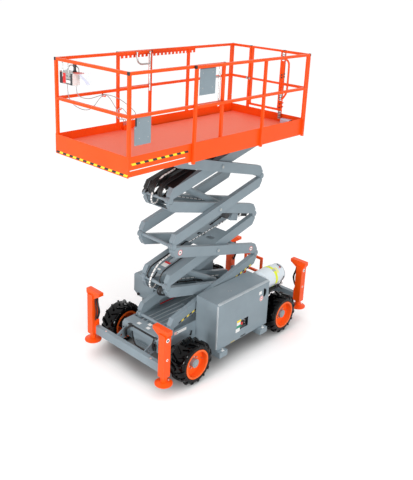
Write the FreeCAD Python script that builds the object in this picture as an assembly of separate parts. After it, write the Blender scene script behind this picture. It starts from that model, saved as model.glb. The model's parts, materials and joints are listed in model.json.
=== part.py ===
"""Rough-terrain scissor lift: chassis, wheels, jacks, scissor stack, platform.

Millimetres, +X towards the steered end, +Y the left side, +Z up.
Pieces are drawn with x = 0 halfway between the axles, then moved so that
the origin lies on the ground below the middle of the overall length.
"""
import FreeCAD
import Part
import math
import os
from FreeCAD import Vector

os.makedirs("parts", exist_ok=True)

# ---------------------------------------------------------------- wheels
WHEELBASE = 2017.0
WIDTH_OVER_TYRES = 1750.0
TYRE_DIAMETER = 640.0
TYRE_WIDTH = 284.0
RIM_FLANGE_DIAMETER = 434.0
RIM_BARREL_DIAMETER = 392.0
RIM_SHEET = 6.0
RIM_INSET = 7.0            # flange inside the tyre's side face
DISC_DEPTH = 106.0         # wheel disc behind the tyre's outer face
DISC_THICKNESS = 12.0
HUB_DIAMETER = 124.0
HUB_PROUD = 64.0           # hub in front of the disc
SPINDLE_DIAMETER = 80.0
BEAD_FIT = 0.2             # tyre to rim
TREAD_SIDES = 24           # flats round the carcass
TREAD_LUGS = 15            # in each half of the tread; the halves are staggered
LUG_HEIGHT = 20.0
LUG_WIDTH = 34.0
LUG_SLANT = 0.6            # shift along the tread for each mm towards the side
LUG_START = 8.0            # inner end of a lug from the tyre's middle
LUG_SHOULDER = 38.0        # bevel over the shoulder
LUG_PROUD = 6.0            # lugs in front of the sidewalls

# ------------------------------------------------------- axles, steering
KINGPIN_Y = 525.0
KINGPIN_DIAMETER = 60.0
YOKE_PLATE = 20.0
KNUCKLE_HEIGHT = 120.0
AXLE_BEAM = 100.0
STEER_ARM = 150.0

# ------------------------------------------------------------- fits
RUNNING_FIT = 0.05         # radial, shafts in bores
TRACK_FIT = 0.4            # rollers over their tracks
SIDE_GAP = 5.0             # moving faces side by side
PANEL_GAP = 6.0            # doors, decks and rails that slide past others

# ------------------------------------------------------------- chassis
SIDE_PLATE = 12.0
CHASSIS_HALF = 372.0       # outer faces of the side plates
CHASSIS_TOP = 620.0
CHASSIS_BELLY = 270.0
AXLE_ARCH_Z = 400.0        # lower edge of the side plates over the axles
CHASSIS_REAR = -1280.0
CHASSIS_FRONT = 1310.0
DECK_PLATE_Z = 560.0
DECK_PLATE = 10.0
HOOD_REAR = 1100.0
BELLY_HALF_LENGTH = 600.0
CHASSIS_TRACK_END = 740.0  # lower tracks end this far behind the fixed pins
NOSE_LIP = 50.0            # fold at the hood's front edge
TROUGH_BACK = 1215.0       # curved sheet set back under the hood
TROUGH_RADIUS = 80.0
TROUGH_SHEET = 6.0

# ------------------------------------------------- outriggers and beams
JACK_FRONT_X = 1547.0
JACK_REAR_X = -1555.0
JACK_Y = 754.0
JACK_TUBE = 115.0
JACK_WALL = 6.0
JACK_TUBE_BOTTOM = 337.0
JACK_HEAD_TOP = 1050.0
JACK_HEAD_DEPTH = 84.0
JACK_HEAD_OUT = 96.0       # head outboard of the tube's middle
JACK_HEAD_IN = 190.0       # head inboard of the tube's middle
JACK_HEAD_HEIGHT = 50.0    # straight part of the head's inner end
JACK_HEAD_SLOPE = 80.0     # fall of the head's sloping underside
LEG_DIAMETER = 90.0
LEG_TOP = 930.0
GUIDE_COLLAR = 60.0        # sleeve at the foot of each housing
PAD_DIAMETER = 246.0
PAD_BOTTOM = 225.0
PAD_EDGE = 14.0
PAD_CROWN = 22.0
BEAM_TOP = 475.0
BEAM_DEPTH = 130.0
BEAM_WIDTH = 65.0
BEAM_WALL = 8.0
BEAM_BACK_SET = 62.0       # beam's far face behind the jack's middle
ARM_BRACKET_Y = 290.0
BRACKET_PLATE = 12.0
TIE_HOLE_DIAMETER = 40.0   # shackle holes in the arms of the jack beams
TIE_FRONT_X = 1400.0
TIE_REAR_X = -1400.0
TIE_Z = 440.0

# ------------------------------------------------------------- cabinets
CAB_INNER_Y = 372.0        # bolted against the side plates
CAB_OUTER_Y = 800.0
CAB_FRONT = 542.0
CAB_REAR = -640.0
CAB_BOTTOM = 287.0
CAB_TOP = 1030.0
CAB_WALL = 6.0
CAB_NOSE_FRONT = 710.0     # the right cabinet reaches over the tyre
CAB_NOSE_BOTTOM = 664.0
DOOR_THICKNESS = 8.0
HINGE_Z = 1000.0
HINGE_PIN_DIAMETER = 12.0
HINGE_KNUCKLE_DIAMETER = 22.0
STEP_LENGTH = 170.0        # carrier feet under the cabinets
STEP_BOTTOM = 200.0
STEP_OUT = 868.0
STEP_FRONT_X = 457.0
STEP_REAR_X = -482.0

ENGINE_FRONT = 180.0       # heavy block in the right cabinet
ENGINE_REAR = -420.0
ENGINE_OUT = 720.0
ENGINE_IN = 420.0
ENGINE_TOP = 830.0

# ------------------------------------------------------------- scissors
ARM_SPAN = 1965.0          # pin to pin
REST_SLOPE = 19.1          # degrees, pin line above the level
PIN_OFFSET = 80.0          # end pins from the tube's middle line
ARM_DEPTH = 150.0
ARM_WIDTH = 75.0
ARM_WALL = 6.0
ARM_CHAMFER = 80.0
OUTER_Y = 310.0
INNER_Y = 224.5
HINGE_X = 1020.0           # fixed ends of all levels
BASE_PIN_Z = 630.0
SHAFT_DIAMETER = 50.0
CENTRE_PIN_DIAMETER = 56.0
EAR_DIAMETER = 96.0
MIDDLE_EAR = 29.0
END_BLOCK = 95.0           # solid stretch at each end of a tube
PIN_HEAD = 8.0
CROSS_PLATE = 12.0
ROLLER_DIAMETER = 90.0
ROLLER_Y = 150.0
ROLLER_WIDTH = 55.0

# -------------------------------------------------------- lift cylinders
LIFT_BASE_U = 1350.0       # along the falling inner arm
LIFT_EYE_U = 300.0         # along the rising inner arm
BARREL_DIAMETER = 96.0
BARREL_LENGTH = 900.0
ROD_DIAMETER = 60.0
ROD_LENGTH = 760.0
EYE_DIAMETER = 84.0
EYE_WIDTH = 58.0
BASE_TUBE_DIAMETER = 60.0
CHEEK = 12.0
CHEEK_TUBE_U = 150.0       # cross tube that holds the eye cheeks
RISING_PLATE_END_U = 620.0
ROD_SLOT_U0 = 228.0        # from here the plate is slotted for the folded cylinder
WEB_U0 = 850.0             # plate with the two long holes
WEB_U1 = 1350.0
WEB_HOLES = 2
FALLING_PLATE_END_U = 295.0
FALLING_STRAP_U0 = 1120.0
FALLING_STRAP_U1 = 1250.0

# ------------------------------------------------------------- platform
DECK_REAR = -1274.0
DECK_FRONT = 1128.0
DECK_HALF = 709.0
DECK_OVER_PINS = 14.0      # deck's lower edge; the heights below start there
TOE_HEIGHT = 252.0
TOE_SHEET = 3.0
FLOOR_HEIGHT = 119.0
FLOOR_SHEET = 6.0
FLOOR_INSET = 34.0         # floor ends inside the toe boards
CROSS_MEMBER_HEIGHT = 50.0
CROSS_MEMBER = 12.0
RAIL_HEIGHT = 1211.0
MID_RAIL_HEIGHT = 709.0
POST_DROP = 12.0           # posts reach below the deck
RAIL_TUBE = 36.0
MAIN_MID_POST_X = -245.0
TRACK_PAST_ARM = 135.0     # upper tracks end behind the pin's furthest place
TRACK_FRONT_SET = 690.0    # and this far behind the fixed pins
TRACK_EDGE = 3.0
LUG_PLATE = 12.0

# ----------------------------------------------------------- extension
EXT_FRONT = 2151.0
EXT_REAR = 545.0
EXT_FLOOR_OVER = 17.0      # over the main floor's underside
EXT_FLOOR_SHEET = 5.0
EXT_SKIRT_OVER = 12.0      # skirts end over the main deck's lower edge
EXT_FRONT_SHEET = 4.0
SLIDE_PAD_LENGTH = 60.0    # nylon pads between the two floors
SLIDE_PAD_WIDTH = 50.0
SLIDE_PAD_INSET = 60.0
SEAT_GAP = 0.3
BLOCK_REACH = 12.0         # roller blocks stand in front of the main deck
BLOCK_LENGTH = 60.0
BLOCK_DROP = 22.0
HANDLE_X = 600.0           # push handles beside the rear posts
HANDLE_LOOP_X = 839.0
HANDLE_TUBE = 24.0
HANDLE_BEND = 90.0
HANDLE_FOOT = 555.0        # below the rails' top
HANDLE_LOOP = 182.0

# ----------------------------------------------------------------- gate
GATE_HINGE_Y = 275.0       # face of the hinge post
GATE_LATCH_Y = -335.0      # face of the latch post
GATE_TUBE = 30.0
GATE_SIDE_GAP = 8.0
GATE_LIFT = 40.0           # gate's foot over the toe board
GATE_PIN_DIAMETER = 10.0
GATE_KNUCKLE_R = 9.0
GATE_KNUCKLE = 28.0        # height of the gate's own knuckle
GATE_KNUCKLE_GAP = 1.0
GATE_LOW_HINGE = 107.0     # over the toe board
GATE_HIGH_HINGE = 87.0     # below the rails' top

# ----------------------------------------------------- gas, ladder, box
GAS_DIAMETER = 322.0
GAS_Y = 550.0
GAS_Z = 900.0
GAS_FRONT = -662.0
GAS_REAR = -1185.0
GAS_COLLAR = 292.0
LADDER_X = -1318.0
LADDER_TUBE = 36.0
LADDER_LEFT = 130.0
LADDER_RIGHT = -246.0
LADDER_RUNGS = (420.0, 690.0, 942.0)
LADDER_STAY_Z = 520.0
LADDER_STAY_HALF = 20.0
MANUAL_Y = 338.0           # document box, on the floor at the rear
MANUAL_WIDTH = 170.0
PANEL_REAR = -160.0        # ground controls, behind the left door's window
PANEL_FRONT = 60.0
PANEL_TOP = 640.0
PANEL_BACK = 130.0
PANEL_FACE = 40.0
BOX_INSET = 52.0           # upper controls, beside the right rail
BOX_WIDTH = 250.0
BOX_LENGTH = 118.0
BOX_TOP = 165.0            # below the rails' top
BOX_BOTTOM = 312.0
GLAND_X = 2025.0
GLAND_INSETS = (48.0, 230.0)
GLAND_DIAMETER = 20.0
GLAND_LENGTH = 23.0
CORD_DIAMETER = 10.0
HOOK_X = 1409.0            # hook under the extension's right middle rail
STAND_X = 1150.0           # hook on a strap from the toe board
HOOK_PIN = 12.0
SOCKET_X = (985.0, 1068.0)

# ------------------------------------------------------- worked-out sizes
AXLE_X = WHEELBASE / 2
WHEEL_R = TYRE_DIAMETER / 2
WHEEL_OUT = WIDTH_OVER_TYRES / 2
WHEEL_IN = WHEEL_OUT - TYRE_WIDTH
DISC_Y = WHEEL_OUT - DISC_DEPTH
PAD_R = PAD_DIAMETER / 2
REAR_END = JACK_REAR_X - PAD_R
MID_X = (EXT_FRONT + REAR_END) / 2
EAR_R = EAR_DIAMETER / 2
EAR_ROOM = EAR_R + SIDE_GAP
SLOPE = math.radians(REST_SLOPE)
TUBE_TILT = SLOPE - math.asin(2 * PIN_OFFSET / ARM_SPAN)
TUBE_RUN = math.sqrt(ARM_SPAN ** 2 - (2 * PIN_OFFSET) ** 2)
LEVEL_PITCH = ARM_SPAN * math.sin(SLOPE)
PLATFORM_PIN_Z = BASE_PIN_Z + 4 * LEVEL_PITCH
DECK_BOTTOM = PLATFORM_PIN_Z + DECK_OVER_PINS
FLOOR_HALF = DECK_HALF - FLOOR_INSET
EXT_HALF = DECK_HALF - TOE_SHEET - PANEL_GAP
SLIDE_PAD_Y = EXT_HALF - SLIDE_PAD_INSET
BOX_Y0 = BOX_INSET - EXT_HALF
BOX_Y1 = BOX_Y0 + BOX_WIDTH
TOE_TOP = DECK_BOTTOM + TOE_HEIGHT
FLOOR_Z = DECK_BOTTOM + FLOOR_HEIGHT
CROSS_MEMBER_Z = DECK_BOTTOM + CROSS_MEMBER_HEIGHT
RAIL_TOP = DECK_BOTTOM + RAIL_HEIGHT
MID_RAIL_Z = DECK_BOTTOM + MID_RAIL_HEIGHT
MAIN_POST_FOOT = DECK_BOTTOM - POST_DROP
EXT_FLOOR_Z = FLOOR_Z + EXT_FLOOR_OVER
EXT_SKIRT_BOTTOM = DECK_BOTTOM + EXT_SKIRT_OVER
TRACK_REAR = HINGE_X - ARM_SPAN - TRACK_PAST_ARM
TRACK_FRONT = HINGE_X - TRACK_FRONT_SET
GATE_FOOT = TOE_TOP + GATE_LIFT
GATE_HINGES = (TOE_TOP + GATE_LOW_HINGE, MID_RAIL_Z, RAIL_TOP - GATE_HIGH_HINGE)
TUBE_NEAR = PIN_OFFSET - ARM_DEPTH / 2
TUBE_FAR = PIN_OFFSET + ARM_DEPTH / 2


# ------------------------------------------------------------- helpers
def box(x0, x1, y0, y1, z0, z1):
    corner = Vector(min(x0, x1), min(y0, y1), min(z0, z1))
    return Part.makeBox(abs(x1 - x0), abs(y1 - y0), abs(z1 - z0), corner)


def rod_x(y, z, r, x0, x1):
    return Part.makeCylinder(r, x1 - x0, Vector(x0, y, z), Vector(1, 0, 0))


def rod_y(x, z, r, y0, y1):
    return Part.makeCylinder(r, y1 - y0, Vector(x, y0, z), Vector(0, 1, 0))


def rod_z(x, y, r, z0, z1):
    return Part.makeCylinder(r, z1 - z0, Vector(x, y, z0), Vector(0, 0, 1))


def extrude(points, direction):
    wire = Part.makePolygon(points + [points[0]])
    return Part.Face(wire).extrude(direction)


def plate_xz(points, y0, y1):
    return extrude([Vector(x, y0, z) for x, z in points], Vector(0, y1 - y0, 0))


def plate_yz(points, x0, x1):
    return extrude([Vector(x0, y, z) for y, z in points], Vector(x1 - x0, 0, 0))


def fuse(shapes):
    first = shapes[0]
    if len(shapes) == 1:
        return first
    return first.multiFuse(shapes[1:]).removeSplitter()


def mirrored(shape):
    return shape.mirror(Vector(0, 0, 0), Vector(0, 1, 0))


def both_sides(shape):
    return [shape, mirrored(shape)]


def save(name, *shapes):
    """Write one sub-part, moved to the common origin."""
    solids = []
    for shape in shapes:
        for solid in shape.Solids:
            moved = solid.copy()
            moved.translate(Vector(-MID_X, 0, 0))
            solids.append(moved)
    result = solids[0] if len(solids) == 1 else Part.makeCompound(solids)
    if not result.isValid():
        raise ValueError("invalid shape: " + name)
    result.exportStep("parts/" + name + ".step")
    print("%-28s solids %2d  litres %8.3f" % (name, len(solids), result.Volume / 1e6))


def revolve_y(points, x, z):
    """Turn a profile of (radius, y) points about the axle through x, z."""
    wire = Part.makePolygon([Vector(x + r, y, z) for r, y in points + [points[0]]])
    return Part.Face(wire).revolve(Vector(x, 0, z), Vector(0, 1, 0), 360)


# -------------------------------------------------------------- wheels
def faceted_ring(points, sides):
    """Turn a profile of (radius, y) points about the axle in flats."""
    step = 2 * math.pi / sides
    faces = []
    for k in range(sides):
        a0 = (k - 0.5) * step
        a1 = (k + 0.5) * step
        for (r0, y0), (r1, y1) in zip(points, points[1:] + points[:1]):
            quad = [Vector(r0 * math.cos(a0), y0, r0 * math.sin(a0)),
                    Vector(r0 * math.cos(a1), y0, r0 * math.sin(a1)),
                    Vector(r1 * math.cos(a1), y1, r1 * math.sin(a1)),
                    Vector(r1 * math.cos(a0), y1, r1 * math.sin(a0))]
            faces.append(Part.Face(Part.makePolygon(quad + quad[:1])))
    shell = Part.makeShell(faces)
    shell.sewShape()
    solid = Part.makeSolid(shell)
    if solid.Volume < 0:
        solid.reverse()
    return solid


def lug(angle, side):
    """One slanted bar of the tread, from near the middle over a shoulder."""
    middle = WHEEL_OUT - TYRE_WIDTH / 2
    half = TYRE_WIDTH / 2
    bend = half - LUG_SHOULDER
    lean = LUG_SLANT * (bend - LUG_START) / 2
    tip = math.sqrt(WHEEL_R ** 2 - (lean + LUG_WIDTH / 2) ** 2)
    root = WHEEL_R - LUG_HEIGHT - 15
    # columns: distance from the tyre's middle, radius
    outline = [(LUG_START, root), (LUG_START, tip), (bend, tip), (half, tip - LUG_SHOULDER),
               (half, root - 27), (bend, root)]
    out = Vector(math.cos(angle), 0, math.sin(angle))
    along = Vector(-math.sin(angle), 0, math.cos(angle))
    points = []
    for d, r in outline:
        shift = LUG_SLANT * (d - (LUG_START + bend) / 2) - LUG_WIDTH / 2
        points.append(out * r + along * shift + Vector(0, middle + side * d, 0))
    return extrude(points, along * LUG_WIDTH)


def tyre():
    """Left-hand tyre about an axle at the origin, with its lugs."""
    side_in = WHEEL_IN + LUG_PROUD
    side_out = WHEEL_OUT - LUG_PROUD
    flange_in = WHEEL_IN + RIM_INSET + RIM_SHEET + BEAD_FIT
    flange_out = WHEEL_OUT - RIM_INSET - RIM_SHEET - BEAD_FIT
    bead_r = (RIM_BARREL_DIAMETER / 2 + BEAD_FIT) / math.cos(math.pi / TREAD_SIDES)
    clear_r = RIM_FLANGE_DIAMETER / 2 + BEAD_FIT + 4
    carcass = WHEEL_R - LUG_HEIGHT
    bevel = 22.0
    # columns: radius, y
    profile = [(bead_r, flange_in), (clear_r, flange_in),
               (carcass - bevel, side_in), (carcass, side_in + bevel),
               (carcass, side_out - bevel), (carcass - bevel, side_out),
               (clear_r, flange_out), (bead_r, flange_out)]
    pieces = [faceted_ring(profile, TREAD_SIDES)]
    pitch = 2 * math.pi / TREAD_LUGS
    bend = TYRE_WIDTH / 2 - LUG_SHOULDER
    corner = math.asin((LUG_SLANT * (bend - LUG_START) / 2 + LUG_WIDTH / 2) / WHEEL_R)
    for k in range(TREAD_LUGS):
        low = -math.pi / 2 + corner + k * pitch
        pieces.append(lug(low, 1))
        pieces.append(lug(low + pitch / 2, -1))
    return fuse(pieces)


def rim(x):
    flange_r = RIM_FLANGE_DIAMETER / 2
    barrel_r = RIM_BARREL_DIAMETER / 2
    inner_r = barrel_r - RIM_SHEET
    y_in = WHEEL_IN + RIM_INSET
    y_out = WHEEL_OUT - RIM_INSET
    hub_r = HUB_DIAMETER / 2
    hub_face = DISC_Y + HUB_PROUD
    bore_r = SPINDLE_DIAMETER / 2 + RUNNING_FIT
    profile = [
        (inner_r, y_in), (flange_r, y_in), (flange_r, y_in + RIM_SHEET),
        (barrel_r, y_in + RIM_SHEET), (barrel_r, y_out - RIM_SHEET),
        (flange_r, y_out - RIM_SHEET), (flange_r, y_out), (inner_r, y_out),
        (inner_r, DISC_Y), (hub_r, DISC_Y), (hub_r, hub_face), (0, hub_face),
        (0, hub_face - 20), (bore_r, hub_face - 20),
        (bore_r, DISC_Y - DISC_THICKNESS), (inner_r, DISC_Y - DISC_THICKNESS)]
    return revolve_y(profile, x, WHEEL_R)


def spindle(x, y_root):
    end = DISC_Y + HUB_PROUD - 20 - SIDE_GAP
    shaft = rod_y(x, WHEEL_R, SPINDLE_DIAMETER / 2, y_root, end)
    motor = rod_y(x, WHEEL_R, 90, y_root, DISC_Y - DISC_THICKNESS - SIDE_GAP)
    return [shaft, motor]


# --------------------------------------------------- axles and knuckles
def knuckle():
    """Left steering knuckle: kingpin, block, wheel spindle, steering arm."""
    z0 = WHEEL_R - KNUCKLE_HEIGHT / 2
    z1 = WHEEL_R + KNUCKLE_HEIGHT / 2
    half = KINGPIN_DIAMETER / 2
    block = box(AXLE_X - 55, AXLE_X + 55, KINGPIN_Y - 45, KINGPIN_Y + 80, z0, z1)
    pin = rod_z(AXLE_X, KINGPIN_Y, half, z0 - YOKE_PLATE - 2 * SIDE_GAP,
                z1 + YOKE_PLATE + 2 * SIDE_GAP)
    arm = box(AXLE_X - STEER_ARM, AXLE_X - 50, KINGPIN_Y - 30, KINGPIN_Y + 15,
              WHEEL_R - 60, WHEEL_R - 40)
    return fuse([block, pin, arm] + spindle(AXLE_X, KINGPIN_Y + 75))


def front_axle():
    """Beam with a two-plate yoke around each knuckle."""
    half = AXLE_BEAM / 2
    beam_end = KINGPIN_Y - 45 - SIDE_GAP - 40
    pieces = [box(AXLE_X - half, AXLE_X + half, -beam_end, beam_end,
                  WHEEL_R - half, WHEEL_R + half)]
    low = WHEEL_R - KNUCKLE_HEIGHT / 2 - SIDE_GAP
    high = WHEEL_R + KNUCKLE_HEIGHT / 2 + SIDE_GAP
    cheek = box(AXLE_X - 55, AXLE_X + 55, beam_end - 20, beam_end + 15,
                low - YOKE_PLATE, high + YOKE_PLATE)
    bore = KINGPIN_DIAMETER / 2 + RUNNING_FIT
    hole = rod_z(AXLE_X, KINGPIN_Y, bore, low - 100, high + 100)
    for z0 in (low - YOKE_PLATE, high):
        plate = box(AXLE_X - 55, AXLE_X + 55, beam_end, KINGPIN_Y + 50, z0, z0 + YOKE_PLATE)
        pieces += both_sides(plate.cut(hole))
    pieces += both_sides(cheek)
    for y in (-200, 200):
        pieces.append(box(AXLE_X - 70, AXLE_X + 70, y - 8, y + 8,
                          WHEEL_R + half - 10, DECK_PLATE_Z))
    return fuse(pieces)


def rear_axle():
    half = AXLE_BEAM / 2
    root = WHEEL_IN - 60
    pieces = [box(-AXLE_X - half, -AXLE_X + half, -root, root, WHEEL_R - half, WHEEL_R + half)]
    for piece in spindle(-AXLE_X, root - 10):
        pieces += both_sides(piece)
    for y in (-200, 200):
        pieces.append(box(-AXLE_X - 70, -AXLE_X + 70, y - 8, y + 8,
                          WHEEL_R + half - 10, DECK_PLATE_Z))
    return fuse(pieces)


# -------------------------------------------------------------- chassis
def trough_outline():
    """Sheet that hangs from the hood and curves forward to the nose's foot."""
    centre_x = TROUGH_BACK + TROUGH_RADIUS
    centre_z = AXLE_ARCH_Z + TROUGH_RADIUS
    count = 6
    outer = [(TROUGH_BACK, CHASSIS_TOP - 6)]
    inner = [(TROUGH_BACK + TROUGH_SHEET, CHASSIS_TOP - 6)]
    for k in range(count + 1):
        a = math.pi + math.pi / 2 * k / count
        c = math.cos(a)
        s = math.sin(a)
        outer.append((centre_x + TROUGH_RADIUS * c, centre_z + TROUGH_RADIUS * s))
        r = TROUGH_RADIUS - TROUGH_SHEET
        inner.append((centre_x + r * c, centre_z + r * s))
    return outer + inner[::-1]


def chassis():
    inner = CHASSIS_HALF - SIDE_PLATE
    belly = BELLY_HALF_LENGTH
    side = [(CHASSIS_REAR, CHASSIS_TOP), (CHASSIS_REAR, AXLE_ARCH_Z),
            (-belly - 100, AXLE_ARCH_Z), (-belly, CHASSIS_BELLY),
            (belly, CHASSIS_BELLY), (belly + 100, AXLE_ARCH_Z),
            (CHASSIS_FRONT, AXLE_ARCH_Z), (CHASSIS_FRONT, CHASSIS_TOP - 40),
            (CHASSIS_FRONT - 35, CHASSIS_TOP)]
    pieces = both_sides(plate_xz(side, inner, CHASSIS_HALF))
    pieces.append(box(CHASSIS_REAR, HOOD_REAR, -inner, inner,
                      DECK_PLATE_Z, DECK_PLATE_Z + DECK_PLATE))
    pieces.append(box(-belly, belly, -inner, inner, CHASSIS_BELLY, CHASSIS_BELLY + 8))
    pieces.append(box(CHASSIS_REAR, CHASSIS_REAR + 10, -inner, inner, AXLE_ARCH_Z, DECK_PLATE_Z))
    # roller tracks
    y0 = ROLLER_Y - ROLLER_WIDTH / 2 - SIDE_GAP
    y1 = ROLLER_Y + ROLLER_WIDTH / 2 + SIDE_GAP
    track = box(CHASSIS_REAR + 100, HINGE_X - CHASSIS_TRACK_END, y0, y1, DECK_PLATE_Z + DECK_PLATE,
                BASE_PIN_Z - ROLLER_DIAMETER / 2 - TRACK_FIT)
    pieces += both_sides(track)
    # hood over the front axle, folded down to a short lip at the nose
    t = 10.0
    lip = CHASSIS_TOP - 40 - NOSE_LIP
    hood = [(HOOD_REAR, DECK_PLATE_Z), (HOOD_REAR, CHASSIS_TOP),
            (CHASSIS_FRONT - 35, CHASSIS_TOP), (CHASSIS_FRONT, CHASSIS_TOP - 40),
            (CHASSIS_FRONT, lip), (CHASSIS_FRONT - t, lip),
            (CHASSIS_FRONT - t, CHASSIS_TOP - 44), (CHASSIS_FRONT - 39, CHASSIS_TOP - t),
            (HOOD_REAR + t, CHASSIS_TOP - t), (HOOD_REAR + t, DECK_PLATE_Z)]
    pieces.append(plate_xz(hood, -inner, inner))
    pieces.append(plate_xz(trough_outline(), -inner, inner))
    # base hinge ears and their shaft
    for yc in (-OUTER_Y, OUTER_Y):
        ear = plate_xz([(HINGE_X - 60, DECK_PLATE_Z + 2), (HINGE_X + 60, DECK_PLATE_Z + 2),
                        (HINGE_X + 30, BASE_PIN_Z), (HINGE_X - 30, BASE_PIN_Z)],
                       yc - MIDDLE_EAR / 2, yc + MIDDLE_EAR / 2)
        knob = rod_y(HINGE_X, BASE_PIN_Z, 40, yc - MIDDLE_EAR / 2, yc + MIDDLE_EAR / 2)
        pieces += [ear, knob]
    pieces.append(rod_y(HINGE_X, BASE_PIN_Z, SHAFT_DIAMETER / 2, -inner - 2, inner + 2))
    # arms out to the jack beams
    for end, face, beam, tie_x in ((CHASSIS_FRONT, 1, JACK_FRONT_X, TIE_FRONT_X),
                                   (CHASSIS_REAR, -1, JACK_REAR_X, TIE_REAR_X)):
        near = beam - face * BEAM_BACK_SET
        points = [(end - face * 20, CHASSIS_TOP - 60), (end - face * 20, AXLE_ARCH_Z),
                  (end, AXLE_ARCH_Z - 20), (near, BEAM_TOP - BEAM_DEPTH),
                  (near, BEAM_TOP), (end, CHASSIS_TOP - 60)]
        arm = plate_xz(points, ARM_BRACKET_Y - BRACKET_PLATE / 2,
                       ARM_BRACKET_Y + BRACKET_PLATE / 2)
        hole = rod_y(tie_x, TIE_Z, TIE_HOLE_DIAMETER / 2, 0, CHASSIS_HALF)
        pieces += both_sides(arm.cut(hole))
    # cross-members whose ends carry the cabinets
    for x in (STEP_FRONT_X, STEP_REAR_X):
        pieces.append(box(x - STEP_LENGTH / 2, x + STEP_LENGTH / 2, -STEP_OUT, STEP_OUT,
                          STEP_BOTTOM, CAB_BOTTOM))
    return fuse(pieces)


def beam(x, face):
    """Channel across the machine between two jacks; face is +1 at the front."""
    end = JACK_Y - JACK_TUBE / 2 - 12
    near = x - face * BEAM_BACK_SET
    far = near + face * BEAM_WIDTH
    bottom = BEAM_TOP - BEAM_DEPTH
    body = box(near, far, -end, end, bottom, BEAM_TOP)
    hollow = box(near + face * BEAM_WALL, far - face * BEAM_WALL, -end + BEAM_WALL,
                 end - BEAM_WALL, bottom - 1, BEAM_TOP - BEAM_WALL)
    return body.cut(hollow)


def jack_housing(x, face):
    """Left-hand housing: square tube, overhanging head, beam bracket."""
    half = JACK_TUBE / 2
    inner = half - JACK_WALL
    head_z = JACK_HEAD_TOP - JACK_HEAD_HEIGHT
    y_in = JACK_Y - JACK_HEAD_IN
    y_out = JACK_Y + JACK_HEAD_OUT
    low = head_z - JACK_HEAD_SLOPE
    outline = [(y_in, JACK_HEAD_TOP), (y_out, JACK_HEAD_TOP), (y_out, head_z - 10),
               (JACK_Y + half - 4, low), (JACK_Y - half, low), (y_in, head_z)]
    d = JACK_HEAD_DEPTH / 2
    head = plate_yz(outline, x - d, x + d)
    tube = box(x - half, x + half, JACK_Y - half, JACK_Y + half, JACK_TUBE_BOTTOM, head_z - 20)
    core = box(x - inner, x + inner, JACK_Y - inner, JACK_Y + inner,
               JACK_TUBE_BOTTOM - 1, LEG_TOP + 20)
    near = x - face * BEAM_BACK_SET
    gusset = [(near, BEAM_TOP - BEAM_DEPTH), (near + face * BEAM_WIDTH, BEAM_TOP - BEAM_DEPTH),
              (near + face * BEAM_WIDTH, BEAM_TOP + 30), (near, BEAM_TOP + 90)]
    plate = plate_xz(gusset, JACK_Y - half - 12, JACK_Y - half + 2)
    housing = fuse([tube, head, plate]).cut(core)
    collar = box(x - inner - 1, x + inner + 1, JACK_Y - inner - 1, JACK_Y + inner + 1,
                 JACK_TUBE_BOTTOM, JACK_TUBE_BOTTOM + GUIDE_COLLAR)
    bore = rod_z(x, JACK_Y, LEG_DIAMETER / 2 + RUNNING_FIT, JACK_TUBE_BOTTOM - 1, LEG_TOP)
    return fuse([housing, collar.cut(bore)])


def jack_leg(x):
    """Left-hand leg with its round pad."""
    r = LEG_DIAMETER / 2
    crown = PAD_BOTTOM + PAD_EDGE
    leg = rod_z(x, JACK_Y, r, crown, LEG_TOP)
    pad = rod_z(x, JACK_Y, PAD_R, PAD_BOTTOM, crown)
    dome = Part.makeCone(PAD_R, r + 12, PAD_CROWN, Vector(x, JACK_Y, crown), Vector(0, 0, 1))
    return fuse([leg, pad, dome])


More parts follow.
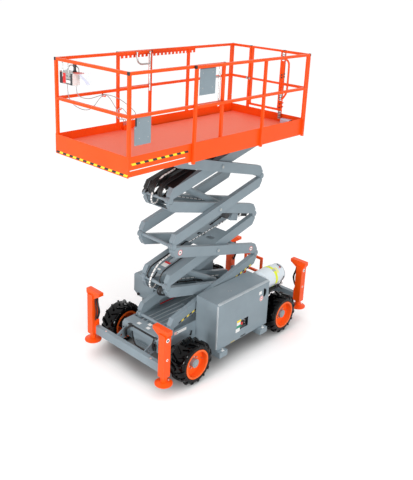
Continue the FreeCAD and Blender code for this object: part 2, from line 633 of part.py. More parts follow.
# -------------------------------------------------------------- cabinets
def cabinet(nose):
    """Left-hand cabinet box without its door; nose adds the front overhang."""
    wall = CAB_WALL
    face = CAB_OUTER_Y - DOOR_THICKNESS - PANEL_GAP
    knuckle_r = HINGE_KNUCKLE_DIAMETER / 2
    hinge_y = CAB_OUTER_Y - knuckle_r
    top_edge = hinge_y - knuckle_r - PANEL_GAP + 2
    outline = [(CAB_INNER_Y, CAB_BOTTOM), (face, CAB_BOTTOM),
               (face, HINGE_Z - knuckle_r - 12), (top_edge, HINGE_Z - knuckle_r - 12),
               (top_edge, CAB_TOP), (CAB_INNER_Y, CAB_TOP)]
    shell = plate_yz(outline, CAB_REAR, CAB_FRONT)
    hollow = plate_yz([(CAB_INNER_Y + wall, CAB_BOTTOM + wall), (face + 1, CAB_BOTTOM + wall),
                       (face + 1, HINGE_Z - knuckle_r - 12 - wall),
                       (top_edge - wall, HINGE_Z - knuckle_r - 12 - wall),
                       (top_edge - wall, CAB_TOP - wall),
                       (CAB_INNER_Y + wall, CAB_TOP - wall)],
                      CAB_REAR + wall, CAB_FRONT - wall)
    shell = shell.cut(hollow)
    # hinge pin between two end lugs
    pin = rod_x(hinge_y, HINGE_Z, HINGE_PIN_DIAMETER / 2, CAB_REAR, CAB_FRONT)
    pieces = [shell, pin]
    for x in (CAB_REAR, CAB_FRONT - wall):
        lug = [(top_edge - 10, HINGE_Z - knuckle_r - 10), (hinge_y + 4, HINGE_Z - knuckle_r - 4),
               (hinge_y + 9, HINGE_Z), (hinge_y + 4, HINGE_Z + knuckle_r),
               (top_edge - 10, CAB_TOP)]
        pieces.append(plate_yz(lug, x, x + wall))
    if nose:
        outer = CAB_OUTER_Y
        nose_line = [(CAB_INNER_Y, CAB_NOSE_BOTTOM), (outer - 110, CAB_NOSE_BOTTOM),
                     (outer, CAB_NOSE_BOTTOM + 60), (outer, CAB_TOP - 30),
                     (outer - 30, CAB_TOP), (CAB_INNER_Y, CAB_TOP)]
        inset = [(CAB_INNER_Y + wall, CAB_NOSE_BOTTOM + wall),
                 (outer - 112, CAB_NOSE_BOTTOM + wall),
                 (outer - wall, CAB_NOSE_BOTTOM + 63), (outer - wall, CAB_TOP - 33),
                 (outer - 33, CAB_TOP - wall), (CAB_INNER_Y + wall, CAB_TOP - wall)]
        solid = plate_yz(nose_line, CAB_FRONT - 1, CAB_NOSE_FRONT)
        pieces.append(solid.cut(plate_yz(inset, CAB_FRONT + wall, CAB_NOSE_FRONT - wall)))
    return fuse(pieces)


def door(windows):
    """Left-hand door, hung from the hinge pin along its top edge."""
    knuckle_r = HINGE_KNUCKLE_DIAMETER / 2
    hinge_y = CAB_OUTER_Y - knuckle_r
    y0 = CAB_OUTER_Y - DOOR_THICKNESS
    x0 = CAB_REAR + CAB_WALL + SIDE_GAP
    x1 = CAB_FRONT - CAB_WALL - SIDE_GAP
    panel = box(x0, x1, y0, CAB_OUTER_Y, CAB_BOTTOM + PANEL_GAP, HINGE_Z)
    roll = rod_x(hinge_y, HINGE_Z, knuckle_r, x0, x1)
    bore = rod_x(hinge_y, HINGE_Z, HINGE_PIN_DIAMETER / 2 + RUNNING_FIT, x0 - 1, x1 + 1)
    leaf = fuse([panel, roll]).cut(bore)
    for x, z, width, height, rounded in windows:
        if rounded:
            hole = rod_y(x, z, width / 2, y0 - 1, CAB_OUTER_Y + 1)
            keep = box(x, x + width, y0 - 2, CAB_OUTER_Y + 2, z - width, z + width)
            hole = hole.cut(keep)
        else:
            hole = box(x - width / 2, x + width / 2, y0 - 1, CAB_OUTER_Y + 1,
                       z - height / 2, z + height / 2)
        leaf = leaf.cut(hole)
    return leaf


# -------------------------------------------------------------- scissors
class Arm:
    """One scissor arm of a level: rising or falling towards the rear."""

    def __init__(self, level, rising, outer):
        self.rising = rising
        self.sign = 1 if rising else -1
        self.mid_y = OUTER_Y if outer else INNER_Y
        self.outer = outer
        base = BASE_PIN_Z + (level - 1) * LEVEL_PITCH
        self.front_z = base if rising else base + LEVEL_PITCH

    def point(self, u, w):
        """u runs rearward along the tube, w away from the front pin's side."""
        c = math.cos(TUBE_TILT)
        s = math.sin(TUBE_TILT)
        return (HINGE_X - u * c + w * s, self.front_z + self.sign * (u * s + w * c))

    def plate(self, points, y0, y1):
        return plate_xz([self.point(u, w) for u, w in points], y0, y1)

    def disc(self, u, w, r, y0, y1):
        x, z = self.point(u, w)
        return rod_y(x, z, r, y0, y1)

    def ends(self):
        """(u, w) of the lower and the upper end pin."""
        front = (0.0, 0.0)
        rear = (TUBE_RUN, 2 * PIN_OFFSET)
        return (front, rear) if self.rising else (rear, front)

    def tube(self, footed=False):
        """The left-hand tube with its ears; footed: nothing pins on below."""
        half = ARM_WIDTH / 2
        y = self.mid_y
        c = ARM_CHAMFER
        outline = [(0, TUBE_NEAR), (0, TUBE_FAR - c), (c, TUBE_FAR), (TUBE_RUN, TUBE_FAR),
                   (TUBE_RUN, TUBE_NEAR + c), (TUBE_RUN - c, TUBE_NEAR)]
        solid = self.plate(outline, y - half, y + half)
        w0 = TUBE_NEAR + ARM_WALL
        w1 = TUBE_FAR - ARM_WALL
        middle = TUBE_RUN / 2
        rooms = ((END_BLOCK, middle - 50), (middle + 50, TUBE_RUN - END_BLOCK))
        for u0, u1 in rooms:
            room = [(u0, w0), (u0, w1), (u1, w1), (u1, w0)]
            solid = solid.cut(self.plate(room, y - half + ARM_WALL, y + half - ARM_WALL))
        (lu, lw), (uu, uw) = self.ends()
        ear = MIDDLE_EAR / 2
        room = ear + SIDE_GAP
        # lower end: a pair of side ears around the neighbour's middle ear
        lower_ears = [self.disc(lu, lw, EAR_R, y - half, y + half)]
        if not footed:
            solid = solid.cut(self.disc(lu, lw, EAR_ROOM, y - room, y + room))
            lower_ears = [self.disc(lu, lw, EAR_R, y - half, y - room),
                          self.disc(lu, lw, EAR_R, y + room, y + half)]
        # upper end: one middle ear
        for y0, y1 in ((y - half - 1, y - ear), (y + ear, y + half + 1)):
            solid = solid.cut(self.disc(uu, uw, EAR_ROOM, y0, y1))
        solid = solid.multiFuse(lower_ears + [self.disc(uu, uw, EAR_R, y - ear, y + ear)])
        if footed:
            return solid
        bore = self.disc(lu, lw, SHAFT_DIAMETER / 2 + RUNNING_FIT, y - half - 1, y + half + 1)
        return solid.cut(bore)

    def joint_reach(self):
        """How far the shaft of this pair reaches to each side."""
        if self.outer:
            return OUTER_Y + ARM_WIDTH / 2
        return INNER_Y + ARM_WIDTH / 2


def outer_pair(level, rising, to_lugs=False):
    arm = Arm(level, rising, True)
    tube = arm.tube()
    middle = TUBE_RUN / 2
    bore = arm.disc(middle, PIN_OFFSET, CENTRE_PIN_DIAMETER / 2 + RUNNING_FIT,
                    OUTER_Y - ARM_WIDTH, OUTER_Y + ARM_WIDTH)
    tube = tube.cut(bore)
    u, w = arm.ends()[1]
    reach = arm.joint_reach() + 1
    if to_lugs:
        reach = LUG_Y + LUG_PLATE
    shaft = arm.disc(u, w, SHAFT_DIAMETER / 2, -reach, reach)
    head = arm.disc(u, w, SHAFT_DIAMETER / 2 + 12, reach, reach + PIN_HEAD)
    return fuse(both_sides(tube) + [shaft] + both_sides(head))


def inner_pair(level, rising, tubes=(), rollers=()):
    """tubes: u of cross tubes; rollers: (u, w) of the ends that roll."""
    arm = Arm(level, rising, False)
    half = ARM_WIDTH / 2
    inside = INNER_Y - half
    lower, upper = arm.ends()
    pieces = both_sides(arm.tube(footed=lower in rollers))
    pieces.append(arm.disc(upper[0], upper[1], SHAFT_DIAMETER / 2, -INNER_Y - half, INNER_Y + half))
    middle = TUBE_RUN / 2
    outside = OUTER_Y + half + 1
    pin = arm.disc(middle, PIN_OFFSET, CENTRE_PIN_DIAMETER / 2, INNER_Y, outside + PIN_HEAD)
    head = arm.disc(middle, PIN_OFFSET, CENTRE_PIN_DIAMETER / 2 + 10, outside, outside + PIN_HEAD)
    pieces += both_sides(pin) + both_sides(head)
    if rising:
        sheet = cross_plate(arm, WEB_U0, WEB_U1, inside + 2)
        for k in range(WEB_HOLES):
            y = inside * (2 * k + 1 - WEB_HOLES) / WEB_HOLES
            sheet = sheet.cut(slot_hole(arm, (WEB_U0 + WEB_U1) / 2, y))
        pieces.append(sheet)
        slot = ROD_DIAMETER / 2 + SIDE_GAP
        reach = BARREL_DIAMETER / 2 + SIDE_GAP
        end = RISING_PLATE_END_U + 5
        room = arm.plate([(ROD_SLOT_U0, TUBE_FAR - 30), (ROD_SLOT_U0, TUBE_FAR + 5),
                          (end, TUBE_FAR + 5), (end, TUBE_FAR - 30)], -reach, reach)
        pieces.append(cross_plate(arm, END_BLOCK, RISING_PLATE_END_U, inside + 2).cut(room))
        # cheeks each side of the rod's eye, from the cross tube up to the plate
        near = PIN_OFFSET - EYE_DIAMETER / 2
        far = TUBE_FAR - CROSS_PLATE / 2
        cheek = [(CHEEK_TUBE_U - 20, near), (LIFT_EYE_U + 20, near),
                 (LIFT_EYE_U + 45, PIN_OFFSET), (LIFT_EYE_U + 45, far), (CHEEK_TUBE_U - 20, far)]
        pieces += both_sides(arm.plate(cheek, slot, slot + CHEEK))
    else:
        pieces.append(cross_plate(arm, END_BLOCK, FALLING_PLATE_END_U, inside + 2))
        pieces.append(cross_plate(arm, FALLING_STRAP_U0, FALLING_STRAP_U1, inside + 2))
    for u in tubes:
        pieces.append(arm.disc(u, PIN_OFFSET, BASE_TUBE_DIAMETER / 2, -inside - 2, inside + 2))
    for u, w in rollers:
        y0 = ROLLER_Y - ROLLER_WIDTH / 2
        pieces += both_sides(arm.disc(u, w, ROLLER_DIAMETER / 2, y0, y0 + ROLLER_WIDTH))
        if (u, w) == lower:
            pieces.append(arm.disc(u, w, SHAFT_DIAMETER / 2, -INNER_Y - half, INNER_Y + half))
    return fuse(pieces)


def cross_plate(arm, u0, u1, reach):
    """Sheet between the two tubes, flush with their far edge."""
    return arm.plate([(u0, TUBE_FAR - CROSS_PLATE), (u0, TUBE_FAR),
                      (u1, TUBE_FAR), (u1, TUBE_FAR - CROSS_PLATE)], -reach, reach)


def slot_hole(arm, u, y, half_long=75.0, r=42.0):
    """Round-ended hole through a cross plate, long side across the arm."""
    cs = []
    for side in (-1, 1):
        x, z = arm.point(u, TUBE_FAR + 20)
        dx, dz = arm.point(u, TUBE_FAR - 40)
        axis = Vector(dx - x, 0, dz - z)
        cs.append(Part.makeCylinder(r, axis.Length, Vector(x, y + side * (half_long - r), z), axis))
    p = [arm.point(u - r, TUBE_FAR + 20), arm.point(u + r, TUBE_FAR + 20),
         arm.point(u + r, TUBE_FAR - 40), arm.point(u - r, TUBE_FAR - 40)]
    cs.append(plate_xz(p, y - half_long + r, y + half_long - r))
    return fuse(cs)


LUG_Y = OUTER_Y + ARM_WIDTH / 2 + SIDE_GAP


# -------------------------------------------------------- lift cylinders
def lift_points(level):
    """World (x, z) of the barrel's base eye and of the rod's eye."""
    base = Arm(level, False, False).point(LIFT_BASE_U, PIN_OFFSET)
    eye = Arm(level + 1, True, False).point(LIFT_EYE_U, PIN_OFFSET)
    return base, eye


def along(base, eye, a, b, r):
    """Cylinder on the line from base to eye, between distances a and b."""
    d = Vector(eye[0] - base[0], 0, eye[1] - base[1])
    d.normalize()
    start = Vector(base[0], 0, base[1]) + d * a
    return Part.makeCylinder(r, b - a, start, d)


def lift_barrel(level):
    base, eye = lift_points(level)
    body = along(base, eye, 20, BARREL_LENGTH, BARREL_DIAMETER / 2)
    bore = along(base, eye, 110, BARREL_LENGTH + 1, ROD_DIAMETER / 2 + RUNNING_FIT)
    ring = rod_y(base[0], base[1], BASE_TUBE_DIAMETER / 2 + 14, -30, 30)
    hole = rod_y(base[0], base[1], BASE_TUBE_DIAMETER / 2 + RUNNING_FIT, -60, 60)
    return fuse([body, ring]).cut(bore).cut(hole)


def lift_rod(level):
    base, eye = lift_points(level)
    length = math.hypot(eye[0] - base[0], eye[1] - base[1])
    rod = along(base, eye, length - ROD_LENGTH, length, ROD_DIAMETER / 2)
    ring = rod_y(eye[0], eye[1], EYE_DIAMETER / 2, -EYE_WIDTH / 2, EYE_WIDTH / 2)
    return fuse([rod, ring])


# -------------------------------------------------------------- platform
def deck():
    """Main deck without its floor sheet."""
    inner = DECK_HALF - TOE_SHEET
    pieces = both_sides(box(DECK_REAR, DECK_FRONT, inner, DECK_HALF, DECK_BOTTOM, TOE_TOP))
    pieces += both_sides(box(DECK_REAR, DECK_FRONT, FLOOR_HALF - 75, inner + 1,
                             DECK_BOTTOM, DECK_BOTTOM + 4))
    pieces.append(box(DECK_REAR, DECK_REAR + TOE_SHEET, -DECK_HALF, DECK_HALF, DECK_BOTTOM, TOE_TOP))
    # cross-members, deep outside the slide rails and shallow over the arms
    deep = LUG_Y + LUG_PLATE
    outline = [(-FLOOR_HALF, DECK_BOTTOM + 2), (-deep, DECK_BOTTOM + 2), (-deep, CROSS_MEMBER_Z),
               (deep, CROSS_MEMBER_Z), (deep, DECK_BOTTOM + 2), (FLOOR_HALF, DECK_BOTTOM + 2),
               (FLOOR_HALF, FLOOR_Z), (-FLOOR_HALF, FLOOR_Z)]
    count = 6
    first = DECK_REAR + 40
    last = DECK_FRONT - 40
    for k in range(count):
        x = first + (last - first) * k / (count - 1)
        pieces.append(plate_yz(outline, x - CROSS_MEMBER / 2, x + CROSS_MEMBER / 2))
    # longitudinals with the hinge lugs
    r = SHAFT_DIAMETER / 2 + 25
    long_side = box(DECK_REAR + 20, DECK_FRONT - 30, LUG_Y, LUG_Y + LUG_PLATE, DECK_BOTTOM, FLOOR_Z)
    lug_plate = rod_y(HINGE_X, PLATFORM_PIN_Z, r, LUG_Y, LUG_Y + LUG_PLATE)
    bore = rod_y(HINGE_X, PLATFORM_PIN_Z, SHAFT_DIAMETER / 2 + RUNNING_FIT, LUG_Y - 1, LUG_Y + 50)
    pieces += both_sides(fuse([long_side, lug_plate]).cut(bore))
    # roller blocks under the front corners, which guide the extension's skirts
    block_x = DECK_FRONT + BLOCK_REACH
    pieces += both_sides(box(block_x - BLOCK_LENGTH, block_x, EXT_HALF - 30, DECK_HALF,
                             DECK_BOTTOM - BLOCK_DROP, EXT_SKIRT_BOTTOM - 2))
    # tracks that the upper rollers press against
    y0 = ROLLER_Y - ROLLER_WIDTH / 2 - TRACK_EDGE
    y1 = ROLLER_Y + ROLLER_WIDTH / 2 + TRACK_EDGE
    track_z = PLATFORM_PIN_Z + ROLLER_DIAMETER / 2 + TRACK_FIT
    pieces += both_sides(box(TRACK_REAR, TRACK_FRONT, y0, y1, track_z, CROSS_MEMBER_Z + 4))
    pieces += both_sides(box(TRACK_REAR, TRACK_FRONT, y0, y0 + 8, track_z, FLOOR_Z))
    body = fuse(pieces)
    shaft_room = rod_y(HINGE_X, PLATFORM_PIN_Z, EAR_ROOM, -LUG_Y + 0.5, LUG_Y - 0.5)
    return body.cut(shaft_room)


def main_floor():
    """Floor sheet, with the pads at its front edge that carry the extension."""
    top = FLOOR_Z + FLOOR_SHEET
    front = DECK_FRONT - 20
    sheet = box(DECK_REAR + TOE_SHEET, front, -FLOOR_HALF, FLOOR_HALF, FLOOR_Z, top)
    pads = both_sides(slide_pad(front - SLIDE_PAD_LENGTH, top - 1, EXT_FLOOR_Z - SEAT_GAP))
    return fuse([sheet] + pads)


def post(x, y, z0, z1, size=RAIL_TUBE):
    return box(x - size / 2, x + size / 2, y - size / 2, y + size / 2, z0, z1)


def rail_along_x(x0, x1, y, z_mid, size=RAIL_TUBE):
    return box(x0, x1, y - size / 2, y + size / 2, z_mid - size / 2, z_mid + size / 2)


def rail_along_y(y0, y1, x, z_mid, size=RAIL_TUBE):
    return box(x - size / 2, x + size / 2, y0, y1, z_mid - size / 2, z_mid + size / 2)


MAIN_RAIL_Y = DECK_HALF + RAIL_TUBE / 2
TOP_MID = RAIL_TOP - RAIL_TUBE / 2
MAIN_REAR_POST = DECK_REAR + RAIL_TUBE / 2
MAIN_FRONT_POST = DECK_FRONT - RAIL_TUBE / 2


def main_side_rail():
    """Left-hand rail: three posts outside the toe board, two rails."""
    pieces = [rail_along_x(DECK_REAR, DECK_FRONT, MAIN_RAIL_Y, TOP_MID),
              rail_along_x(DECK_REAR, DECK_FRONT, MAIN_RAIL_Y, MID_RAIL_Z)]
    for x in (MAIN_REAR_POST, MAIN_MID_POST_X, MAIN_FRONT_POST):
        pieces.append(post(x, MAIN_RAIL_Y, MAIN_POST_FOOT, TOP_MID))
    return fuse(pieces)


def lock_comb():
    """Castellated strip under the right top rail that the extension's latch drops into."""
    x0, x1 = -385.0, DECK_FRONT - RAIL_TUBE
    z1 = RAIL_TOP - RAIL_TUBE + 1
    teeth = 20
    pitch = (x1 - x0) / teeth
    points = [(x0, z1)]
    for k in range(teeth):
        a = x0 + k * pitch
        points += [(a, z1 - 60), (a + pitch * 0.55, z1 - 60), (a + pitch * 0.55, z1 - 28),
                   (a + pitch, z1 - 28)]
    points.append((x1, z1))
    return plate_xz(points, -MAIN_RAIL_Y - 3, -MAIN_RAIL_Y + 3)


def rear_rail():
    """Rails each side of the gate, on the rear toe board."""
    x = MAIN_REAR_POST
    pieces = []
    start = MAIN_RAIL_Y - RAIL_TUBE / 2
    for side, y_gate in ((1, GATE_HINGE_Y), (-1, GATE_LATCH_Y)):
        edge = side * start
        lo, hi = sorted((y_gate, edge))
        parts = [rail_along_y(lo, hi, x, TOP_MID), rail_along_y(lo, hi, x, MID_RAIL_Z),
                 post(x, y_gate + side * RAIL_TUBE / 2, TOE_TOP, RAIL_TOP)]
        if side == 1:
            parts += post_knuckles()
        pieces.append(fuse(parts))
    return pieces


def gate_pin():
    """(x, y) of the gate's hinge pin, on the platform side of its post."""
    return MAIN_REAR_POST + RAIL_TUBE / 2 + GATE_KNUCKLE_R, GATE_HINGE_Y - GATE_SIDE_GAP / 2


def post_knuckles():
    x, y = gate_pin()
    face = MAIN_REAR_POST + RAIL_TUBE / 2
    inner = GATE_KNUCKLE / 2 + GATE_KNUCKLE_GAP
    outer = inner + GATE_KNUCKLE
    pieces = []
    for z in GATE_HINGES:
        pieces.append(rod_z(x, y, GATE_PIN_DIAMETER / 2, z - outer, z + outer))
        for z0, z1 in ((z - outer, z - inner), (z + inner, z + outer)):
            pieces.append(rod_z(x, y, GATE_KNUCKLE_R, z0, z1))
            pieces.append(box(face - 1, face + 5, y, y + 32, z0, z1))
    return pieces


def extension_deck():
    """Toe boards of the roll-out deck, open at the rear."""
    y1 = EXT_HALF
    y0 = EXT_HALF - TOE_SHEET
    pieces = both_sides(box(EXT_REAR, EXT_FRONT, y0, y1, EXT_SKIRT_BOTTOM, TOE_TOP))
    pieces.append(box(EXT_FRONT - EXT_FRONT_SHEET, EXT_FRONT, -y1, y1, DECK_BOTTOM, TOE_TOP))
    return fuse(pieces)


def extension_floor():
    """Roll-out floor between its toe boards, with the pads at its rear end."""
    half = EXT_HALF - TOE_SHEET
    sheet = box(EXT_REAR, EXT_FRONT - EXT_FRONT_SHEET, -half, half,
                EXT_FLOOR_Z, EXT_FLOOR_Z + EXT_FLOOR_SHEET)
    pads = both_sides(slide_pad(EXT_REAR, FLOOR_Z + FLOOR_SHEET + SEAT_GAP, EXT_FLOOR_Z + 1))
    return fuse([sheet] + pads)


def slide_pad(x, z0, z1):
    half = SLIDE_PAD_WIDTH / 2
    return box(x, x + SLIDE_PAD_LENGTH, SLIDE_PAD_Y - half, SLIDE_PAD_Y + half, z0, z1)


EXT_RAIL_Y = EXT_HALF - TOE_SHEET - RAIL_TUBE / 2
EXT_FRONT_POST = EXT_FRONT - EXT_FRONT_SHEET - RAIL_TUBE / 2
EXT_REAR_POST = EXT_REAR + RAIL_TUBE / 2


def extension_rails():
    foot = EXT_FLOOR_Z + EXT_FLOOR_SHEET
    pieces = []
    for side in (-1, 1):
        y = side * EXT_RAIL_Y
        pieces.append(rail_along_x(EXT_REAR, EXT_FRONT - EXT_FRONT_SHEET, y, TOP_MID))
        pieces.append(rail_along_x(EXT_REAR, EXT_FRONT - EXT_FRONT_SHEET, y, MID_RAIL_Z))
        for x in (EXT_FRONT_POST, EXT_REAR_POST):
            pieces.append(post(x, y, foot, TOP_MID))
    reach = EXT_RAIL_Y
    for z in (TOP_MID, MID_RAIL_Z):
        pieces.append(rail_along_y(-reach, reach, EXT_FRONT_POST, z))
    return fuse(pieces)


def gate():
    """Swing gate: hinge tube, latch tube, three rails and its knuckles."""
    x = MAIN_REAR_POST
    y_h = GATE_HINGE_Y - GATE_SIDE_GAP
    y_l = GATE_LATCH_Y + GATE_SIDE_GAP
    pieces = [post(x, y_h - GATE_TUBE / 2, GATE_FOOT, RAIL_TOP, GATE_TUBE),
              post(x, y_l + GATE_TUBE / 2, GATE_FOOT, RAIL_TOP, GATE_TUBE)]
    for z in (RAIL_TOP - GATE_TUBE / 2, MID_RAIL_Z, GATE_FOOT + GATE_TUBE / 2):
        pieces.append(rail_along_y(y_l, y_h, x, z, GATE_TUBE))
    pin_x, pin_y = gate_pin()
    face = x + GATE_TUBE / 2
    half = GATE_KNUCKLE / 2
    for z in GATE_HINGES:
        pieces.append(rod_z(pin_x, pin_y, GATE_KNUCKLE_R, z - half, z + half))
        pieces.append(box(face - 1, face + 6, y_h - 28, pin_y, z - half, z + half))
    leaf = fuse(pieces)
    for z in GATE_HINGES:
        leaf = leaf.cut(rod_z(pin_x, pin_y, GATE_PIN_DIAMETER / 2 + RUNNING_FIT,
                              z - half - 1, z + half + 1))
    return leaf


# ---------------------------------------------------------- attachments
def gas_cylinder():
    """Horizontal gas bottle: barrel, domed ends and valve collar."""
    r = GAS_DIAMETER / 2
    dome = 40.0
    x1 = GAS_FRONT - dome
    x0 = GAS_REAR + 75.0
    barrel = rod_x(GAS_Y, GAS_Z, r, x0 + dome, x1)
    ends = [Part.makeCone(r, r * 0.7, dome, Vector(x1, GAS_Y, GAS_Z), Vector(1, 0, 0)),
            Part.makeCone(r, r * 0.7, dome, Vector(x0 + dome, GAS_Y, GAS_Z), Vector(-1, 0, 0))]
    collar_r = GAS_COLLAR / 2
    collar = rod_x(GAS_Y, GAS_Z, collar_r, GAS_REAR, x0 + 40)
    collar = collar.cut(rod_x(GAS_Y, GAS_Z, collar_r - 5, GAS_REAR - 1, x0 - 1))
    return fuse([barrel, collar] + ends)


def gas_cradle():
    shelf_z = GAS_Z - GAS_DIAMETER / 2 - 14
    shelf = box(GAS_REAR + 60, CAB_REAR, GAS_Y - 130, GAS_Y + 130, shelf_z - 6, shelf_z)
    pieces = [shelf]
    bottle = rod_x(GAS_Y, GAS_Z, GAS_DIAMETER / 2 + 0.3, GAS_REAR, CAB_REAR)
    for x in (GAS_REAR + 160, GAS_FRONT - 110):
        saddle = box(x - 8, x + 8, GAS_Y - 110, GAS_Y + 110, shelf_z - 1, GAS_Z - 105)
        pieces.append(saddle.cut(bottle))
        arm = [(CHASSIS_HALF, CHASSIS_TOP - 120), (CHASSIS_HALF, shelf_z),
               (GAS_Y, shelf_z), (GAS_Y, shelf_z - 20)]
        pieces.append(plate_yz(arm, x - 6, x + 6))
    return fuse(pieces)


def ladder():
    half = LADDER_TUBE / 2
    z0 = LADDER_RUNGS[0] - 60
    z1 = LADDER_RUNGS[-1] + half
    x0 = LADDER_X - half
    x1 = LADDER_X + half
    pieces = []
    for y in (LADDER_LEFT - half, LADDER_RIGHT + half):
        pieces.append(box(x0, x1, y - half, y + half, z0, z1))
    for z in LADDER_RUNGS:
        pieces.append(box(x0, x1, LADDER_RIGHT, LADDER_LEFT, z - half, z + half))
    for y in (LADDER_LEFT - half, LADDER_RIGHT + half):
        pieces.append(box(x1 - 1, CHASSIS_REAR, y - half, y + half,
                          LADDER_STAY_Z - LADDER_STAY_HALF,
                          LADDER_STAY_Z + LADDER_STAY_HALF))
    return fuse(pieces)


def control_box():
    """Upper controls: body, hanger, guard loop, stick, flap and cord glands."""
    x1 = EXT_FRONT_POST - RAIL_TUBE / 2
    x0 = x1 - 8 - BOX_LENGTH
    y0 = BOX_Y0
    y1 = BOX_Y1
    top = RAIL_TOP - BOX_TOP
    low = RAIL_TOP - BOX_BOTTOM
    body = box(x0, x1 - 8, y0, y1, low, top)
    hanger = box(x1 - 10, x1, y0 + 60, y1 - 60, top - 60, RAIL_TOP - 4)
    stick = rod_z(x0 + 45, y1 - 40, 17, top - 5, top + 118)
    flap = box(x0 + 10, x1 - 30, y1 - 5, y1 + 105, top + 2, top + 12)
    flap_foot = box(x0 + 10, x1 - 30, y1 - 5, y1 + 5, top - 20, top + 12)
    guard_x = x0 + 20
    pieces = [body, hanger, stick, flap, flap_foot]
    # columns: y, height over the box
    guard = [(y0 + 12, -5), (y0 + 12, 10), (y0 + 70, 88), (y1 - 70, 92), (y1 + 8, 40), (y1 + 8, -70)]
    pieces += bar([Vector(guard_x, y, top + z) for y, z in guard], 7)
    for inset in GLAND_INSETS:
        pieces.append(rod_z(GLAND_X, y0 + inset, GLAND_DIAMETER / 2, low - GLAND_LENGTH, low + 2))
    return fuse(pieces)


def bar(points, r):
    """Round bar through the points, with ball corners."""
    pieces = []
    for a, b in zip(points, points[1:]):
        pieces.append(Part.makeCylinder(r, (b - a).Length, a, b - a))
    for p in points[1:-1]:
        pieces.append(Part.makeSphere(r, p))
    return pieces


def push_handle():
    """Left-hand handle: upright tube and bent loop, clamped to the top rail."""
    r = HANDLE_TUBE / 2
    y = EXT_RAIL_Y - RAIL_TUBE / 2 - 1 - r
    top = RAIL_TOP - RAIL_TUBE / 2
    corner_z = RAIL_TOP - HANDLE_LOOP
    bend = HANDLE_BEND
    count = 4
    loop = [Vector(HANDLE_LOOP_X, y, top)]
    for k in range(count + 1):
        a = math.pi / 2 * k / count
        loop.append(Vector(HANDLE_LOOP_X - bend + bend * math.cos(a), y,
                           corner_z + bend - bend * math.sin(a)))
    loop.append(Vector(HANDLE_X, y, corner_z))
    foot = RAIL_TOP - HANDLE_FOOT
    pieces = bar(loop, r) + [rod_z(HANDLE_X, y, r, foot, top)]
    pieces.append(rod_z(HANDLE_X, y, r + 4, foot - 4, foot + 30))
    for x in (HANDLE_X, HANDLE_LOOP_X):
        pieces.append(box(x - 16, x + 16, y - 4, EXT_RAIL_Y - RAIL_TUBE / 2,
                          top - RAIL_TUBE / 4, top + RAIL_TUBE / 4))
    return fuse(pieces)


def rail_hooks():
    """Cord hook under the middle rail, hook on the toe board, cord socket."""
    wall = -EXT_HALF + TOE_SHEET
    r = HOOK_PIN / 2
    under = MID_RAIL_Z - RAIL_TUBE / 2
    tip = -EXT_RAIL_Y + 54
    low = under - 37
    hanging = fuse([box(HOOK_X - 11, HOOK_X + 11, -EXT_RAIL_Y - 8, -EXT_RAIL_Y - 3, low - 12, under),
                    rod_y(HOOK_X, low, r, -EXT_RAIL_Y - 5, tip),
                    box(HOOK_X - r, HOOK_X + r, tip - 4, tip, low - r, low + 24)])
    high = TOE_TOP + 195
    near = tip + 12
    standing = fuse([box(STAND_X - 11, STAND_X + 11, wall, wall + 6, TOE_TOP - 50, high + 12),
                     rod_y(STAND_X, high, r, wall + 3, near),
                     box(STAND_X - r, STAND_X + r, near - 4, near, high - r, high + 24)])
    x0, x1 = SOCKET_X
    floor = EXT_FLOOR_Z + EXT_FLOOR_SHEET
    socket = [box(x0, x1, wall, wall + 50, floor, floor + 58)]
    for x in (x0 + 25, x1 - 23):
        socket.append(rod_z(x, wall + 25, GLAND_DIAMETER / 2, floor + 56, floor + 70))
    return [hanging, standing, fuse(socket)]


def cord(points, diameter):
    """Tube along straight runs joined by tangent arcs; prints its radii."""
    radius = diameter / 2
    start = points[0]
    edges = []
    radii = []
    for a, p, b in zip(points, points[1:], points[2:]):
        u = a - p
        v = b - p
        cut = 0.45 * min(u.Length, v.Length)
        u.normalize()
        v.normalize()
        half_turn = (math.pi - u.getAngle(v)) / 2
        r = cut / math.tan(half_turn)
        bisector = u + v
        bisector.normalize()
        first = p + u * cut
        last = p + v * cut
        edges.append(Part.LineSegment(start, first).toShape())
        middle = p + bisector * (r / math.cos(half_turn) - r)
        edges.append(Part.Arc(first, middle, last).toShape())
        radii.append(r)
        start = last
    edges.append(Part.LineSegment(start, points[-1]).toShape())
    path = Part.Wire(edges)
    ring = Part.Wire(Part.makeCircle(radius, points[0], points[1] - points[0]))
    tube = path.makePipeShell([ring], True, True)
    share = tube.Volume / (math.pi * radius ** 2 * path.Length)
    print("cord length %.0f, volume share %.4f, radii %s"
          % (path.Length, share, " ".join("%.0f" % r for r in radii)))
    return tube


def manual_box():
    """Document box on the floor, against the rear toe board."""
    x0 = DECK_REAR + TOE_SHEET
    z0 = FLOOR_Z + FLOOR_SHEET
    outline = [(x0, z0), (x0 + 62, z0), (x0 + 62, z0 + 48), (x0 + 46, z0 + 64), (x0, z0 + 64)]
    return plate_xz(outline, MANUAL_Y, MANUAL_Y + MANUAL_WIDTH)


def control_panel():
    """Ground controls behind the window of the left door."""
    return box(PANEL_REAR, PANEL_FRONT, CAB_OUTER_Y - PANEL_BACK, CAB_OUTER_Y - PANEL_FACE,
               CAB_BOTTOM + CAB_WALL, PANEL_TOP)


